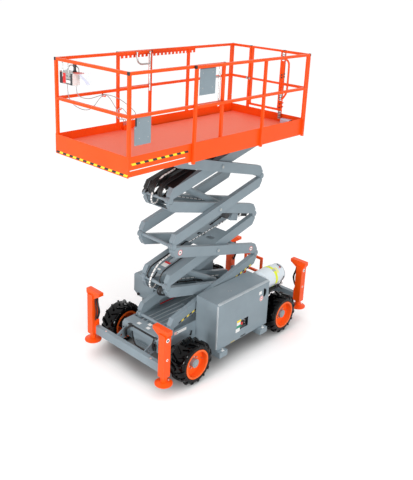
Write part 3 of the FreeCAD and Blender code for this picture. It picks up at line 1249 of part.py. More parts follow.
# ------------------------------------------------ routes of the cords: x, y, z
BOX_LOW = RAIL_TOP - BOX_BOTTOM - GLAND_LENGTH
SOCKET_TOP = EXT_FLOOR_Z + EXT_FLOOR_SHEET + 70
HOOK_Z = MID_RAIL_Z - RAIL_TUBE / 2 - 16
STAND_Z = TOE_TOP + 217
CONTROL_CORD = [
    (2025, -600, BOX_LOW), (2025, -600, BOX_LOW - 60), (2004, -612, BOX_LOW - 162),
    (1930, -638, BOX_LOW - 258), (1812, -646, BOX_LOW - 340), (1680, -646, BOX_LOW - 378),
    (1578, -646, HOOK_Z - 132), (1502, -646, HOOK_Z - 48), (1432, -645, HOOK_Z),
    (1386, -645, HOOK_Z - 1), (1320, -646, HOOK_Z - 48), (1245, -647, HOOK_Z - 154),
    (1176, -649, STAND_Z - 50), (1108, -653, STAND_Z - 145), (1064, -662, SOCKET_TOP + 75),
    (1045, -672, SOCKET_TOP + 38), (1045, -672, SOCKET_TOP)]
POWER_CORD = [
    (2025, -418, BOX_LOW), (2025, -418, BOX_LOW - 40), (1998, -437, BOX_LOW - 100),
    (1915, -485, BOX_LOW - 150), (1808, -543, HOOK_Z + 13), (1684, -602, HOOK_Z - 15),
    (1552, -650, HOOK_Z - 16), (1432, -668, HOOK_Z), (1386, -669, HOOK_Z),
    (1310, -668, HOOK_Z - 17), (1195, -666, HOOK_Z - 58), (1085, -664, HOOK_Z - 118),
    (980, -664, HOOK_Z - 194), (905, -662, HOOK_Z - 256), (853, -660, HOOK_Z - 305),
    (844, -658, HOOK_Z - 342), (859, -655, HOOK_Z - 378), (893, -652, HOOK_Z - 398),
    (932, -648, HOOK_Z - 395), (990, -641, HOOK_Z - 344), (1072, -630, STAND_Z - 42),
    (1125, -627, STAND_Z), (1178, -627, STAND_Z), (1212, -627, STAND_Z - 41),
    (1214, -627, STAND_Z - 95), (1190, -629, STAND_Z - 137), (1150, -632, STAND_Z - 155),
    (1104, -636, STAND_Z - 162), (1058, -644, SOCKET_TOP + 90), (1024, -660, SOCKET_TOP + 68),
    (1010, -672, SOCKET_TOP + 36), (1010, -672, SOCKET_TOP)]

# ----------------------------------------------------------- write parts
LEFT_WINDOWS = ((-500.0, 860.0, 150.0, 150.0, True), (-60.0, 520.0, 200.0, 150.0, False))

save("chassis_frame", chassis())
save("beam_front", beam(JACK_FRONT_X, 1))
save("beam_rear", beam(JACK_REAR_X, -1))
save("axle_front", front_axle())
save("axle_rear", rear_axle())
save("knuckle_left", knuckle())
save("knuckle_right", mirrored(knuckle()))
for end, x, face in (("front", JACK_FRONT_X, 1), ("rear", JACK_REAR_X, -1)):
    housing = jack_housing(x, face)
    save("jack_housings_" + end, *both_sides(housing))
    leg = jack_leg(x)
    save("jack_leg_" + end + "_left", leg)
    save("jack_leg_" + end + "_right", mirrored(leg))
rubber_ring = tyre()
for end, x in (("front", AXLE_X), ("rear", -AXLE_X)):
    rubber = rubber_ring.copy()
    rubber.translate(Vector(x, 0, WHEEL_R))
    steel = rim(x)
    save("tyre_" + end + "_left", rubber)
    save("tyre_" + end + "_right", mirrored(rubber))
    save("rim_" + end + "_left", steel)
    save("rim_" + end + "_right", mirrored(steel))
left = cabinet(False)
end_slab = box(CAB_REAR, CAB_REAR + CAB_WALL, 0, WIDTH_OVER_TYRES, 0, RAIL_TOP)
save("cabinet_left", left.cut(end_slab))
save("cabinet_left_end", left.common(end_slab))
save("cabinet_right", mirrored(cabinet(True)))
save("door_left", door(LEFT_WINDOWS))
save("door_right", mirrored(door(())))
save("control_panel", control_panel())
save("engine_block", box(ENGINE_REAR, ENGINE_FRONT, -ENGINE_OUT, -ENGINE_IN,
                         CAB_BOTTOM + CAB_WALL, ENGINE_TOP))
save("gas_cylinder", gas_cylinder())
save("gas_cradle", gas_cradle())
save("ladder", ladder())

save("arms_1_outer", outer_pair(1, True))
save("arms_1_inner", inner_pair(1, False, (LIFT_BASE_U,), ((TUBE_RUN, 2 * PIN_OFFSET),)))
save("arms_2_outer", outer_pair(2, False))
save("arms_2_inner", inner_pair(2, True, (CHEEK_TUBE_U,)))
save("arms_3_outer", outer_pair(3, True))
save("arms_3_inner", inner_pair(3, False, (LIFT_BASE_U,)))
save("arms_4_outer", outer_pair(4, False, to_lugs=True))
save("arms_4_inner", inner_pair(4, True, (CHEEK_TUBE_U,), ((TUBE_RUN, 2 * PIN_OFFSET),)))
for name, level in (("lower", 1), ("upper", 3)):
    save("lift_barrel_" + name, lift_barrel(level))
    save("lift_rod_" + name, lift_rod(level))

save("deck_main", deck())
save("floor_main", main_floor())
left_rail = main_side_rail()
save("rails_left", left_rail)
save("rails_right", fuse([mirrored(left_rail), lock_comb()]))
save("rails_rear", *rear_rail())
save("gate", gate())
save("deck_extension", extension_deck())
save("floor_extension", extension_floor())
save("rails_extension", extension_rails())
save("push_handles", *both_sides(push_handle()))
save("control_box", control_box())
save("cord_hooks", *rail_hooks())
save("manual_box", manual_box())
save("control_cord", cord([Vector(*p) for p in CONTROL_CORD], CORD_DIAMETER))
save("power_cord", cord([Vector(*p) for p in POWER_CORD], CORD_DIAMETER))
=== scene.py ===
"""Looks of the rough-terrain scissor lift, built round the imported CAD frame.

Metres throughout: +X towards the steered end, +Y to the machine's left, +Z up.
"""
import json
import math

import bmesh
import bpy
from mathutils import Matrix, Vector


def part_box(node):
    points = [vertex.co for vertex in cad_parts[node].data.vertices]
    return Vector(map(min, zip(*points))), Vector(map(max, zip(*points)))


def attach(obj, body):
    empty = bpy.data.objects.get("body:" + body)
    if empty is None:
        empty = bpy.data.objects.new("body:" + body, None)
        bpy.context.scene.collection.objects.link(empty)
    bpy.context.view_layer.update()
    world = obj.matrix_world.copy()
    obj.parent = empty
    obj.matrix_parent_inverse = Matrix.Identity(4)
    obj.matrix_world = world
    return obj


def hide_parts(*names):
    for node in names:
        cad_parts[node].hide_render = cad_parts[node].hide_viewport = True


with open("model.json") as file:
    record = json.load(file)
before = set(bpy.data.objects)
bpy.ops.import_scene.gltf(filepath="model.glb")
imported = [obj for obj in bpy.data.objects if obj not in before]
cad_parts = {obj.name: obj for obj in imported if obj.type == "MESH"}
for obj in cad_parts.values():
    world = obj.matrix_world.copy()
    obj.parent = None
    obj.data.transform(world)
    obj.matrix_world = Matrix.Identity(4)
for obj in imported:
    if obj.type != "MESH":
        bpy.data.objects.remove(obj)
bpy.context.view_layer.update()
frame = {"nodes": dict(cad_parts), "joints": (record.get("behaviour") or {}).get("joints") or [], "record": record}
NODES = frame["nodes"]
OUT = {"left": 1, "right": -1}                   # sign of y on each side
CORNERS = [("%s_%s" % (end, side), end, side) for end in ("front", "rear") for side in OUT]
LEVELS = (1, 2, 3, 4)                            # of the scissor stack
PROUD, FLAT = 0.0008, 0.001                      # painted dashes, half a label's thickness


def link_object(name, data):
    """New object of the scene with the data."""
    obj = bpy.data.objects.new(name, data)
    bpy.context.scene.collection.objects.link(obj)
    return obj


# ------------------------------------------------------------------ camera
CAMERA_PLACE = (6.5935, 6.088, 5.539)
YAW, PITCH, ROLL = -2.411, -0.313, 0.047         # radians
LENS, SENSOR = 49.0545, 36.0                     # millimetres


def make_camera():
    """Camera of the photograph: place, three angles and focal length."""
    data = bpy.data.cameras.new("camera")
    data.sensor_width = SENSOR
    data.lens = LENS
    data.shift_y = -0.125
    data.clip_end = 400.0
    ahead = Vector((math.cos(PITCH) * math.cos(YAW), math.cos(PITCH) * math.sin(YAW),
                    math.sin(PITCH)))
    right = ahead.cross(Vector((0, 0, 1))).normalized()
    up = right.cross(ahead)
    c, s = math.cos(ROLL), math.sin(ROLL)
    right, up = right * c + up * s, up * c - right * s
    turn = Matrix((right, up, -ahead)).transposed().to_4x4()
    camera = link_object("camera", data)
    camera.matrix_world = Matrix.Translation(CAMERA_PLACE) @ turn
    bpy.context.scene.camera = camera


make_camera()


# ------------------------------------------------------------ shader nodes
def fill(tree, node, sockets):
    """Give each named socket its value, or a link from another node's output."""
    for name, value in sockets.items():
        if isinstance(value, bpy.types.NodeSocket):
            tree.links.new(value, node.inputs[name])
        else:
            node.inputs[name].default_value = value


def add_node(tree, kind, sockets=None, **settings):
    """Shader node of a kind, with its settings and its sockets' values or links."""
    node = tree.nodes.new("ShaderNode" + kind)
    for name, value in settings.items():
        setattr(node, name, value)
    fill(tree, node, sockets or {})
    return node


def calculate(tree, operation, a, b=0.0):
    """Output of a math node on two values or outputs."""
    return add_node(tree, "Math", {0: a, 1: b}, operation=operation).outputs["Value"]


def ramp(tree, value, *stops):
    """Colour that changes with the value, between two stops of place and colour."""
    node = add_node(tree, "ValToRGB", {"Fac": value})
    for element, (place, colour) in zip(node.color_ramp.elements, stops):
        element.position, element.color = place, colour
    return node.outputs["Color"]


# --------------------------------------------------------------- materials
BROAD_NOISE, GLOSS_SPREAD = 3.0, 0.08


def linear(colour):
    """Linear colour of an sRGB colour given in 0 to 255."""
    shares = [v / 255.0 for v in colour]
    return [v / 12.92 if v <= 0.04045 else ((v + 0.055) / 1.055) ** 2.4 for v in shares] + [1.0]


def material(name, colour, rough=0.45, metal=0.0, coat=0.0, vary=0.06, grain=40.0, bump=0.02,
             spec=0.5):
    """Principled material: colour and gloss broken up by noise, with a fine bump."""
    mat = bpy.data.materials.new(name)
    mat.use_nodes = True
    tree = mat.node_tree
    *middle, alpha = linear(colour)
    place = add_node(tree, "TexCoord").outputs["Object"]
    broad = add_node(tree, "TexNoise", {"Scale": BROAD_NOISE, "Detail": 6.0, "Vector": place})
    fine = add_node(tree, "TexNoise", {"Scale": grain, "Detail": 3.0, "Vector": place})
    gloss = add_node(tree, "MapRange", {"To Min": max(0.02, rough - GLOSS_SPREAD),
                                        "To Max": min(1.0, rough + GLOSS_SPREAD),
                                        "Value": fine.outputs["Fac"]})
    relief = add_node(tree, "Bump", {"Strength": bump, "Distance": 0.01,
                                     "Height": fine.outputs["Fac"]})
    fill(tree, tree.nodes["Principled BSDF"], {
        "Base Color": ramp(tree, broad.outputs["Fac"],
                           (0.3, [max(0.0, v * (1 - vary)) for v in middle] + [alpha]),
                           (0.7, [min(1.0, v * (1 + vary)) for v in middle] + [alpha])),
        "Metallic": metal, "Roughness": gloss.outputs["Result"], "Specular IOR Level": spec,
        "Coat Weight": coat, "Coat Roughness": 0.15, "Normal": relief.outputs["Normal"]})
    return mat


def perforated(name, sheet, hole, pitch=0.018):
    """Matte sheet with rows of round holes in another colour."""
    mat = material(name, sheet, 0.55)
    tree = mat.node_tree
    place = tree.nodes["Texture Coordinate"].outputs["Object"]
    cells = add_node(tree, "TexVoronoi", {"Scale": 1.0 / pitch, "Randomness": 0.0,
                                          "Vector": place})
    holes = ramp(tree, cells.outputs["Distance"], (0.24, linear(hole)), (0.32, linear(sheet)))
    fill(tree, tree.nodes["Principled BSDF"], {"Base Color": holes})
    return mat


def label(name, colour):
    return material("label_" + name, colour, 0.4, vary=0.02)


def clear_plastic():
    mat = bpy.data.materials.new("clear_plastic")
    mat.use_nodes = True
    fill(mat.node_tree, mat.node_tree.nodes["Principled BSDF"],
         {"Base Color": (0.80, 0.83, 0.90, 1), "Roughness": 0.15, "Alpha": 0.10})
    return mat


ORANGE = material("orange_paint", (250, 84, 12), 0.38, spec=0.3)
GREY = material("grey_paint", (134, 148, 156), 0.42, spec=0.35)
# dark paint; under the decks it is used as painted shade
DARK = material("dark_paint", (48, 50, 52), 0.6)
# black plastic parts; also painted shade on the upper arm plate, and painted shadow under the hood and under the
# main sign's rail
BLACK = material("black_plastic_and_painted_shade", (22, 22, 24))
FLOOR_PAINT = perforated("floor_paint", (250, 118, 88), (214, 70, 40))
WHITE = material("white_paint", (214, 224, 230), 0.3, coat=0.3)
RUBBER = material("tyre_rubber", (3, 3, 4), 0.11, vary=0.3, grain=90.0, bump=0.05, spec=0.18)
RIM_PAINT = material("rim_paint", (252, 104, 34), 0.4, spec=0.3)
HUB = material("hub_grey", (150, 160, 164), 0.4, spec=0.4)
CHROME = material("rod_chrome", (210, 212, 214), 0.14, metal=1.0, vary=0.02)
STEEL = material("steel_tube", (186, 188, 186), 0.32, metal=0.85)
PLASTIC = material("box_plastic", (118, 122, 126), 0.5)
SHEATH = material("cord_sheath", (176, 178, 180), 0.5)
LABEL = label("white", (238, 238, 236))
PINK = label("pink", (244, 196, 190))
RED = label("red", (222, 40, 40))
YELLOW = label("yellow", (250, 222, 40))
STRAP = material("strap_yellow", (226, 236, 36), 0.5)
PALE_YELLOW = label("pale_yellow", (232, 230, 150))
GREEN = label("green", (30, 150, 110))
STRIPE_BLACK = label("black", (20, 20, 20))
HINGE_GREY = material("hinge_grey", (190, 198, 202), 0.4, spec=0.4)
TAG = material("door_tag", (182, 164, 96), 0.5, vary=0.02)
SLEEVE = material("leaflet_paper", (208, 210, 228))
FLAP = material("flap_red", (206, 96, 84))
CLEAR = clear_plastic()

SLOT_LOOK = {"orange_paint": ORANGE, "grey_paint": GREY, "dark_paint": DARK,
             "floor_paint": FLOOR_PAINT, "white_paint": WHITE, "tyre_rubber": RUBBER,
             "rod_chrome": CHROME, "box_plastic": PLASTIC, "steel_tube": STEEL,
             "cord_sheath": SHEATH}
for row in frame["record"]["subparts"]:
    mesh = NODES[row["node"]].data
    mesh.materials.clear()
    mesh.materials.append(SLOT_LOOK[row["material_slot"]])


def repaint(node, look, test):
    """Another finish for the CAD faces in their first finish whose middle passes the test."""
    mesh = NODES[node].data
    mesh.materials.append(look)
    for face in mesh.polygons:
        if face.material_index == 0 and test(face.center):
            face.material_index = len(mesh.materials) - 1


# ------------------------------------------------------------------ shapes
def circle(middle, side, other, radius, count):
    """Points round a middle, in the plane of two unit vectors."""
    turns = [2 * math.pi * k / count for k in range(count)]
    return [middle + (side * math.cos(t) + other * math.sin(t)) * radius for t in turns]


def smooth_line(points, steps):
    """Points on a smooth line that passes through every given point."""
    p = [Vector(q) for q in points]
    p = [p[0] * 2 - p[1]] + p + [p[-1] * 2 - p[-2]]
    line = []
    for a, b, c, d in zip(p, p[1:], p[2:], p[3:]):
        for k in range(steps):
            t = k / steps
            line.append(0.5 * (b * 2 + (c - a) * t + (a * 2 - b * 5 + c * 4 - d) * t * t
                               + (b * 3 - a - c * 3 + d) * t ** 3))
    return line + [p[-2]]


def band(r0, r1, d0, d1):
    """Profile of a flat ring: its two radii and its two places along the axis."""
    return [(r0, d0), (r1, d0), (r1, d1), (r0, d1)]


class Piece:
    """One mesh of the scene, filled with simple shapes, that rides on a body."""
    started = []

    def __init__(self, name, body, look, slot=None, replaces=(), bevel=0.0, angle=35.0):
        self.name, self.body, self.look, self.slot = name, body, look, slot
        self.replaces, self.bevel, self.angle = replaces, bevel, angle
        self.bm = bmesh.new()
        Piece.started.append(self)

    def join(self, a, b):
        """Quads between two closed rows of vertices."""
        for j in range(len(a)):
            k = (j + 1) % len(a)
            self.bm.faces.new((a[j], a[k], b[k], b[j]))

    def skin(self, rings):
        """Closed skin over rows of points, with a cap at either end."""
        rows = [[self.bm.verts.new(p) for p in ring] for ring in rings]
        for a, b in zip(rows, rows[1:]):
            self.join(a, b)
        self.bm.faces.new(rows[0][::-1])
        self.bm.faces.new(rows[-1])
        return self

    def box(self, lo, hi):
        lo, hi = ([pick(pair) for pair in zip(lo, hi)] for pick in (min, max))
        half = [(b - a) / 2 for a, b in zip(lo, hi)]
        return self.block(Vector([(a + b) / 2 for a, b in zip(lo, hi)]), Vector((half[0], 0, 0)),
                          Vector((0, half[1], 0)), Vector((0, 0, half[2])))

    def block(self, middle, a, b, c):
        """Box given by its middle and three half edges."""
        verts = [self.bm.verts.new(middle + a * i + b * j + c * k)
                 for i in (-1, 1) for j in (-1, 1) for k in (-1, 1)]
        for face in ((0, 1, 3, 2), (4, 6, 7, 5), (0, 4, 5, 1), (2, 3, 7, 6), (0, 2, 6, 4),
                     (1, 5, 7, 3)):
            self.bm.faces.new([verts[i] for i in face])
        return self

    def prism(self, outline, depth):
        """Flat outline of points, carried along depth."""
        return self.skin([outline, [p + depth for p in outline]])

    def rod(self, a, b, r, r2=None, sides=20):
        """Round rod or cone from a to b."""
        a, b = Vector(a), Vector(b)
        side = (b - a).orthogonal().normalized()
        other = (b - a).normalized().cross(side)
        return self.skin([circle(a, side, other, r, sides),
                          circle(b, side, other, r if r2 is None else r2, sides)])

    def stud(self, at, way, r, r2=None, sides=20):
        """Rod that starts at a point and runs along a vector."""
        return self.rod(at, Vector(at) + Vector(way), r, r2, sides)

    def tube(self, points, r, sides=10, steps=6):
        """Round tube on a smooth line through the points."""
        line = smooth_line(points, steps)
        side = (line[1] - line[0]).orthogonal().normalized()
        rings = []
        for k, p in enumerate(line):
            ahead = (line[min(k + 1, len(line) - 1)] - line[max(k - 1, 0)]).normalized()
            side = (side - ahead * side.dot(ahead)).normalized()
            rings.append(circle(p, side, ahead.cross(side), r, sides))
        return self.skin(rings)

    def guard(self, points, steps, r):
        """Spiral guard: short rings along a smooth line through the points."""
        line = smooth_line(points, steps)
        for p, q in zip(line[1:-2:2], line[2:-1:2]):
            self.stud(p, (q - p).normalized() * 0.007, r, sides=12)
        return self

    def turned(self, profile, centre, axis, sides=64):
        """Closed profile of (radius, place along the axis) turned about the axis."""
        axis = Vector(axis).normalized()
        side = axis.orthogonal().normalized()
        other = axis.cross(side)
        rows = [[self.bm.verts.new(p)
                 for p in circle(Vector(centre) + axis * d, side, other, r, sides)]
                for r, d in profile]
        for a, b in zip(rows, rows[1:] + rows[:1]):
            self.join(a, b)
        return self

    def finish(self):
        """Make the scene's object from the shapes."""
        bmesh.ops.recalc_face_normals(self.bm, faces=self.bm.faces[:])
        mesh = bpy.data.meshes.new(self.name)
        self.bm.to_mesh(mesh)
        self.bm.free()
        mesh.materials.append(self.look)
        mesh.shade_smooth()
        mesh.set_sharp_from_angle(angle=math.radians(self.angle))
        obj = link_object(self.name, mesh)
        if self.bevel:
            mod = obj.modifiers.new("bevel", "BEVEL")
            mod.width = self.bevel
            mod.segments = 2
            mod.limit_method = "ANGLE"
        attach(obj, self.body)
        if self.replaces:
            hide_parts(*self.replaces)


# ------------------------------------------------------------------- cords
# routes of the CAD cords: x, y, z
CONTROL_ROUTE = [
    (1.7885, -0.600, 4.0919), (1.7885, -0.600, 4.0319), (1.7675, -0.612, 3.9299),
    (1.6935, -0.638, 3.8339), (1.5755, -0.646, 3.7519), (1.4435, -0.646, 3.7139),
    (1.3415, -0.646, 3.7589), (1.2655, -0.646, 3.8429), (1.1955, -0.645, 3.8909),
    (1.1495, -0.645, 3.8899), (1.0835, -0.646, 3.8429), (1.0085, -0.647, 3.7369),
    (0.9395, -0.649, 3.6349), (0.8715, -0.653, 3.5399), (0.8275, -0.662, 3.5019),
    (0.8085, -0.672, 3.4649), (0.8085, -0.672, 3.4269)]
POWER_ROUTE = [
    (1.7885, -0.418, 4.0919), (1.7885, -0.418, 4.0519), (1.7615, -0.437, 3.9919),
    (1.6785, -0.485, 3.9419), (1.5715, -0.543, 3.9039), (1.4475, -0.602, 3.8759),
    (1.3155, -0.650, 3.8749), (1.1955, -0.668, 3.8909), (1.1495, -0.669, 3.8909),
    (1.0735, -0.668, 3.8739), (0.9585, -0.666, 3.8329), (0.8485, -0.664, 3.7729),
    (0.7435, -0.664, 3.6969), (0.6685, -0.662, 3.6349), (0.6165, -0.660, 3.5859),
    (0.6075, -0.658, 3.5489), (0.6225, -0.655, 3.5129), (0.6565, -0.652, 3.4929),
    (0.6955, -0.648, 3.4959), (0.7535, -0.641, 3.5469), (0.8355, -0.630, 3.6429),
    (0.8885, -0.627, 3.6849), (0.9415, -0.627, 3.6849), (0.9755, -0.627, 3.6439),
    (0.9775, -0.627, 3.5899), (0.9535, -0.629, 3.5479), (0.9135, -0.632, 3.5299),
    (0.8675, -0.636, 3.5229), (0.8215, -0.644, 3.5169), (0.7875, -0.660, 3.4949),
    (0.7735, -0.672, 3.4629), (0.7735, -0.672, 3.4269)]


def make_cord(name, node, route):
    """Cord of the upper controls, which stands for its CAD node."""
    data = bpy.data.curves.new(name, "CURVE")
    data.dimensions = "3D"
    data.resolution_u = 12
    data.bevel_depth = 0.005       # the cord's radius
    data.bevel_resolution = 4
    spline = data.splines.new("NURBS")
    spline.points.add(len(route) - 1)
    for point, place in zip(spline.points, route):
        point.co = (*place, 1.0)
    spline.order_u = 3
    spline.use_endpoint_u = True
    data.materials.append(SHEATH)
    cord = link_object(name, data)
    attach(cord, "extension")
    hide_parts(node)


make_cord("control_cord_line", "control_cord", CONTROL_ROUTE)
make_cord("power_cord_line", "power_cord", POWER_ROUTE)


# ------------------------------------------------------------------ wheels
TREAD_LUGS = 15                    # on each half of a tyre
LUG_HEIGHT, LUG_WIDTH, LUG_SLANT = 0.029, 0.034, 0.6
LUG_START, LUG_SHOULDER = 0.008, 0.038      # from the tyre's middle and from its side
DISC_DEPTH, HUB_PROUD = 0.099, 0.064
HUB_RADIUS, HUB_FACE = 0.062, 0.62          # face: share of the hub's radius
NUT_RING, WHEEL_NUTS = 0.086, 9
CAP_RING, CAP_BOLTS = 0.040, 6


def make_tyre(name, out):
    """Tyre with slanted bars over both shoulders, the halves staggered."""
    lo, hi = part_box("tyre_" + name)
    radius, half = (hi.z - lo.z) / 2, (hi.y - lo.y) / 2
    centre = (lo + hi) / 2
    centre.z = radius
    rim_lo, rim_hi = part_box("rim_" + name)
    flange = (rim_hi.z - rim_lo.z) / 2
    carcass, tip = radius - LUG_HEIGHT, radius - 0.002
    piece = Piece("tread_" + name, "wheel_" + name, RUBBER, "tyre_rubber", ("tyre_" + name,),
                  angle=32)
    # columns: radius, distance from the middle
    wall = [(flange - 0.020, half - 0.0134), (flange + 0.002, half - 0.0134),
            (flange + 0.008, half - 0.0085), (flange + 0.016, half - 0.0105),
            (flange + 0.036, half - 0.0055), (carcass - 0.026, half - 0.0080),
            (carcass - 0.011, half - 0.0160), (carcass - 0.003, half - 0.0300),
            (carcass, half - 0.0500)]
    piece.turned(wall + [(r, -d) for r, d in reversed(wall)], centre, (0, out, 0), 96)
    bend = half - LUG_SHOULDER
    middle = (LUG_START + bend) / 2
    corner = math.asin((LUG_SLANT * (bend - LUG_START) / 2 + LUG_WIDTH / 2) / radius)
    # columns: distance from the middle, top radius, root distance, root radius
    stations = [(LUG_START, tip - 0.005, LUG_START - 0.004, carcass - 0.006),
                (LUG_START + 0.004, tip, LUG_START, carcass - 0.006),
                (middle, tip + 0.0015, middle, carcass - 0.006),
                (bend - 0.008, tip + 0.001, bend - 0.008, carcass - 0.006),
                (bend + 0.004, tip - 0.002, bend, carcass - 0.010),
                (half - 0.018, tip - 0.016, half - 0.026, carcass - 0.020),
                (half - 0.003, tip - 0.031, half - 0.014, carcass - 0.030),
                (half, tip - 0.040, half - 0.014, carcass - 0.036),
                (half - 0.001, tip - 0.062, half - 0.014, carcass - 0.042)]
    for k in range(TREAD_LUGS * 2):
        across = out * (1 if k % 2 == 0 else -1)
        angle = -math.pi / 2 + corner + math.pi * k / TREAD_LUGS
        rings = []
        for d, r, root_d, root_r in stations:
            # columns: distance round the tyre, radius, distance from the middle
            edges = ((-0.022, root_r, root_d), (-0.0155, r - 0.003, d), (-0.0125, r, d),
                     (0.0125, r, d), (0.0155, r - 0.003, d), (0.022, root_r, root_d))
            ring = []
            for offset, rr, dd in edges:
                a = angle + (LUG_SLANT * (d - middle) + offset) / radius
                ring.append(centre + Vector((math.cos(a) * rr, across * dd, math.sin(a) * rr)))
            rings.append(ring)
        piece.skin(rings)


def make_wheel_trim(name, out):
    """Grey hub, nuts and valve on the wheel disc."""
    body, rim = "wheel_" + name, "rim_" + name
    lo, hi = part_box(rim)
    x, z = (lo.x + hi.x) / 2, (lo.z + hi.z) / 2
    disc = (hi.y if out > 0 else lo.y) - out * DISC_DEPTH
    face = disc + out * HUB_PROUD

    def ring(count, radius, y, start=0.0):
        """Places of bolts round the axle."""
        turns = [2 * math.pi * (k + start) / count for k in range(count)]
        return [(x + radius * math.cos(a), y, z + radius * math.sin(a)) for a in turns]

    NODES[rim].data.materials[0] = RIM_PAINT
    repaint(rim, HUB, lambda c: (c.y - disc) * out > 0.004
            and math.hypot(c.x - x, c.z - z) < HUB_RADIUS + 0.004)
    nuts = Piece("nuts_" + body, body, STEEL)
    for at in ring(WHEEL_NUTS, NUT_RING, disc - out * 0.004, start=0.5):
        nuts.stud(at, (0, out * 0.024, 0), 0.0105, sides=6)
    nuts.rod((x - 0.165, disc - out * 0.004, z), (x - 0.160, disc + out * 0.040, z), 0.004)
    cap = Piece("hub_face_" + body, body, HUB)
    cap.rod((x, face - out * 0.002, z), (x, face + out * 0.004, z), HUB_RADIUS * HUB_FACE, sides=32)
    for at in ring(CAP_BOLTS, CAP_RING, face + out * 0.003):
        cap.stud(at, (0, out * 0.006, 0), 0.006, sides=6)


for name, end, side in CORNERS:
    make_tyre(name, OUT[side])
    make_wheel_trim(name, OUT[side])


# -------------------------------------------------------------- outriggers
STICKER_Z, RING_STICKER_Z = 0.900, 0.606


def make_jack_trim(name, end, out):
    """Hydraulic lines, one in a spiral guard, blank stickers and grease nipple."""
    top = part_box("jack_housings_" + end)[1].z
    lo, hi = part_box("jack_leg_" + name)
    x, y = (lo.x + hi.x) / 2, (lo.y + hi.y) / 2
    fore = 1 if end == "front" else -1
    inner, face = y - out * 0.060, y + out * 0.0585
    NODES["jack_leg_" + name].data.materials[0] = ORANGE
    # columns: drop below the head, distance from the housing
    bends = ((0.066, 0.012), (0.130, 0.016), (0.200, 0.028), (0.270, 0.052), (0.330, 0.062),
             (0.395, 0.044), (0.460, 0.016))
    route = [(x - fore * 0.016, inner - out * off, top - drop) for drop, off in bends]
    low = [(x + fore * 0.014, inner - out * (off * 0.55 + 0.004), top - drop - 0.01)
           for drop, off in bends]
    Piece("jack_line_" + name, "chassis", BLACK).tube(route, 0.010, 12).guard(
        route, 9, 0.0165)
    Piece("jack_line_low_" + name, "chassis", BLACK).tube(low, 0.008, 10)
    dots = Piece("jack_stickers_" + name, "chassis", LABEL)
    for z, r in ((STICKER_Z, 0.029), (RING_STICKER_Z, 0.018)):
        dots.rod((x, face - out * FLAT, z), (x, face + out * 0.0006, z), r, sides=24)
    dots.stud((lo.x + 0.060, y + out * 0.030, lo.z + 0.022), (0, 0, 0.018), 0.008, sides=8)
    Piece("jack_marks_" + name, "chassis", STRIPE_BLACK).stud(
        (x, face, STICKER_Z), (0, out * 0.0012, 0), 0.015)
    Piece("jack_rings_" + name, "chassis", RED).stud(
        (x, face, RING_STICKER_Z), (0, out * 0.0010, 0), 0.009)


for name, end, side in CORNERS:
    make_jack_trim(name, end, OUT[side])


# --------------------------------------------------------------------- arms
PIN_OFFSET = 0.080            # of the pins from an arm's near edge
OUTER_FACE, INNER_FACE = 0.3475, 0.262
ARM_MIDDLE = 0.97925          # from the front pin to the centre pin
PLATE_FACE = 0.1556           # of the cross plates, from the near edge
LINE_Y = 0.176                # of the hoses inside the inner arms
STRIPES, STRIPE_STEP, STRIPE_LEAN = 15, 0.110, 0.014
STRIPE_LOW, STRIPE_HIGH = 0.014, 0.036      # from the near edge


class ArmLine:
    """Middle plane of one pair of arms, from the joints' places in the frame."""

    def __init__(self, level, rising):
        places = {j["name"]: Vector(j["pos_m"]) for j in frame["joints"] if j.get("pos_m")}
        front, rear = places["lift"], places["fold_2_outer"]
        pitch = (places["fold_3_outer"].z - front.z) / 2
        span_x = front.x - rear.x
        span = math.hypot(pitch, span_x)
        low = front.z + (level - 1) * pitch
        self.tilt = math.atan2(pitch, span_x) - math.asin(2 * PIN_OFFSET / span)
        self.front_x = front.x
        self.front_z = low if rising else low + pitch
        self.sign = 1 if rising else -1

    def at(self, u, w, y):
        """Point at u back from the front pin, w across the arm and the given y."""
        c, s = math.cos(self.tilt), math.sin(self.tilt)
        return Vector((self.front_x - u * c + w * s, y,
                       self.front_z + self.sign * (u * s + w * c)))

    def route(self, rows, y):
        return [self.at(u, w, y) for u, w in rows]

    def along(self):
        return (self.at(1, 0, 0) - self.at(0, 0, 0)).normalized()

    def across(self):
        return (self.at(0, 1, 0) - self.at(0, 0, 0)).normalized()


def make_arm_stripes():
    """Yellow and black dashes along the lower edge of the lowest outer arms."""
    arm = ArmLine(1, True)
    # columns: name, finish, first place, length
    for name, look, start, length in (("black", STRIPE_BLACK, 0.150, 0.058),
                                      ("yellow", YELLOW, 0.208, 0.052)):
        piece = Piece("arm_stripe_" + name, "arms_1_outer", look)
        for out in OUT.values():
            for k in range(STRIPES):
                a = start + STRIPE_STEP * k
                b = a + length
                piece.prism(arm.route(((a, STRIPE_LOW), (b, STRIPE_LOW),
                                       (b + STRIPE_LEAN, STRIPE_HIGH),
                                       (a + STRIPE_LEAN, STRIPE_HIGH)),
                                      out * OUTER_FACE), Vector((0, out * PROUD, 0)))


def make_arm_signs():
    """Round blank signs at both ends of the level-2 outer arms."""
    arm = ArmLine(2, False)
    # columns: name, finish, radius
    for k, (name, look, r) in enumerate((("ring", RED, 0.040), ("face", LABEL, 0.032),
                                         ("mark", STRIPE_BLACK, 0.012))):
        piece = Piece("sign_" + name, "arms_2_outer", look)
        for out in OUT.values():
            for u in (0.150, 1.790):
                piece.stud(arm.at(u, PIN_OFFSET, out * OUTER_FACE),
                           (0, out * (0.0006 + 0.0005 * k), 0), r, sides=28)


def make_pin_caps():
    """Washer and bolt on both ends of every centre pin."""
    for level in LEVELS:
        arm = ArmLine(level, level % 2 == 1)
        caps = Piece("pin_caps_%d" % level, "arms_%d_outer" % level, STEEL)
        for out in OUT.values():
            p = arm.at(ARM_MIDDLE, PIN_OFFSET, out * (OUTER_FACE + 0.0078))
            caps.stud(p, (0, out * 0.004, 0), 0.020, sides=24)
            caps.stud(p, (0, out * 0.010, 0), 0.010, sides=6)


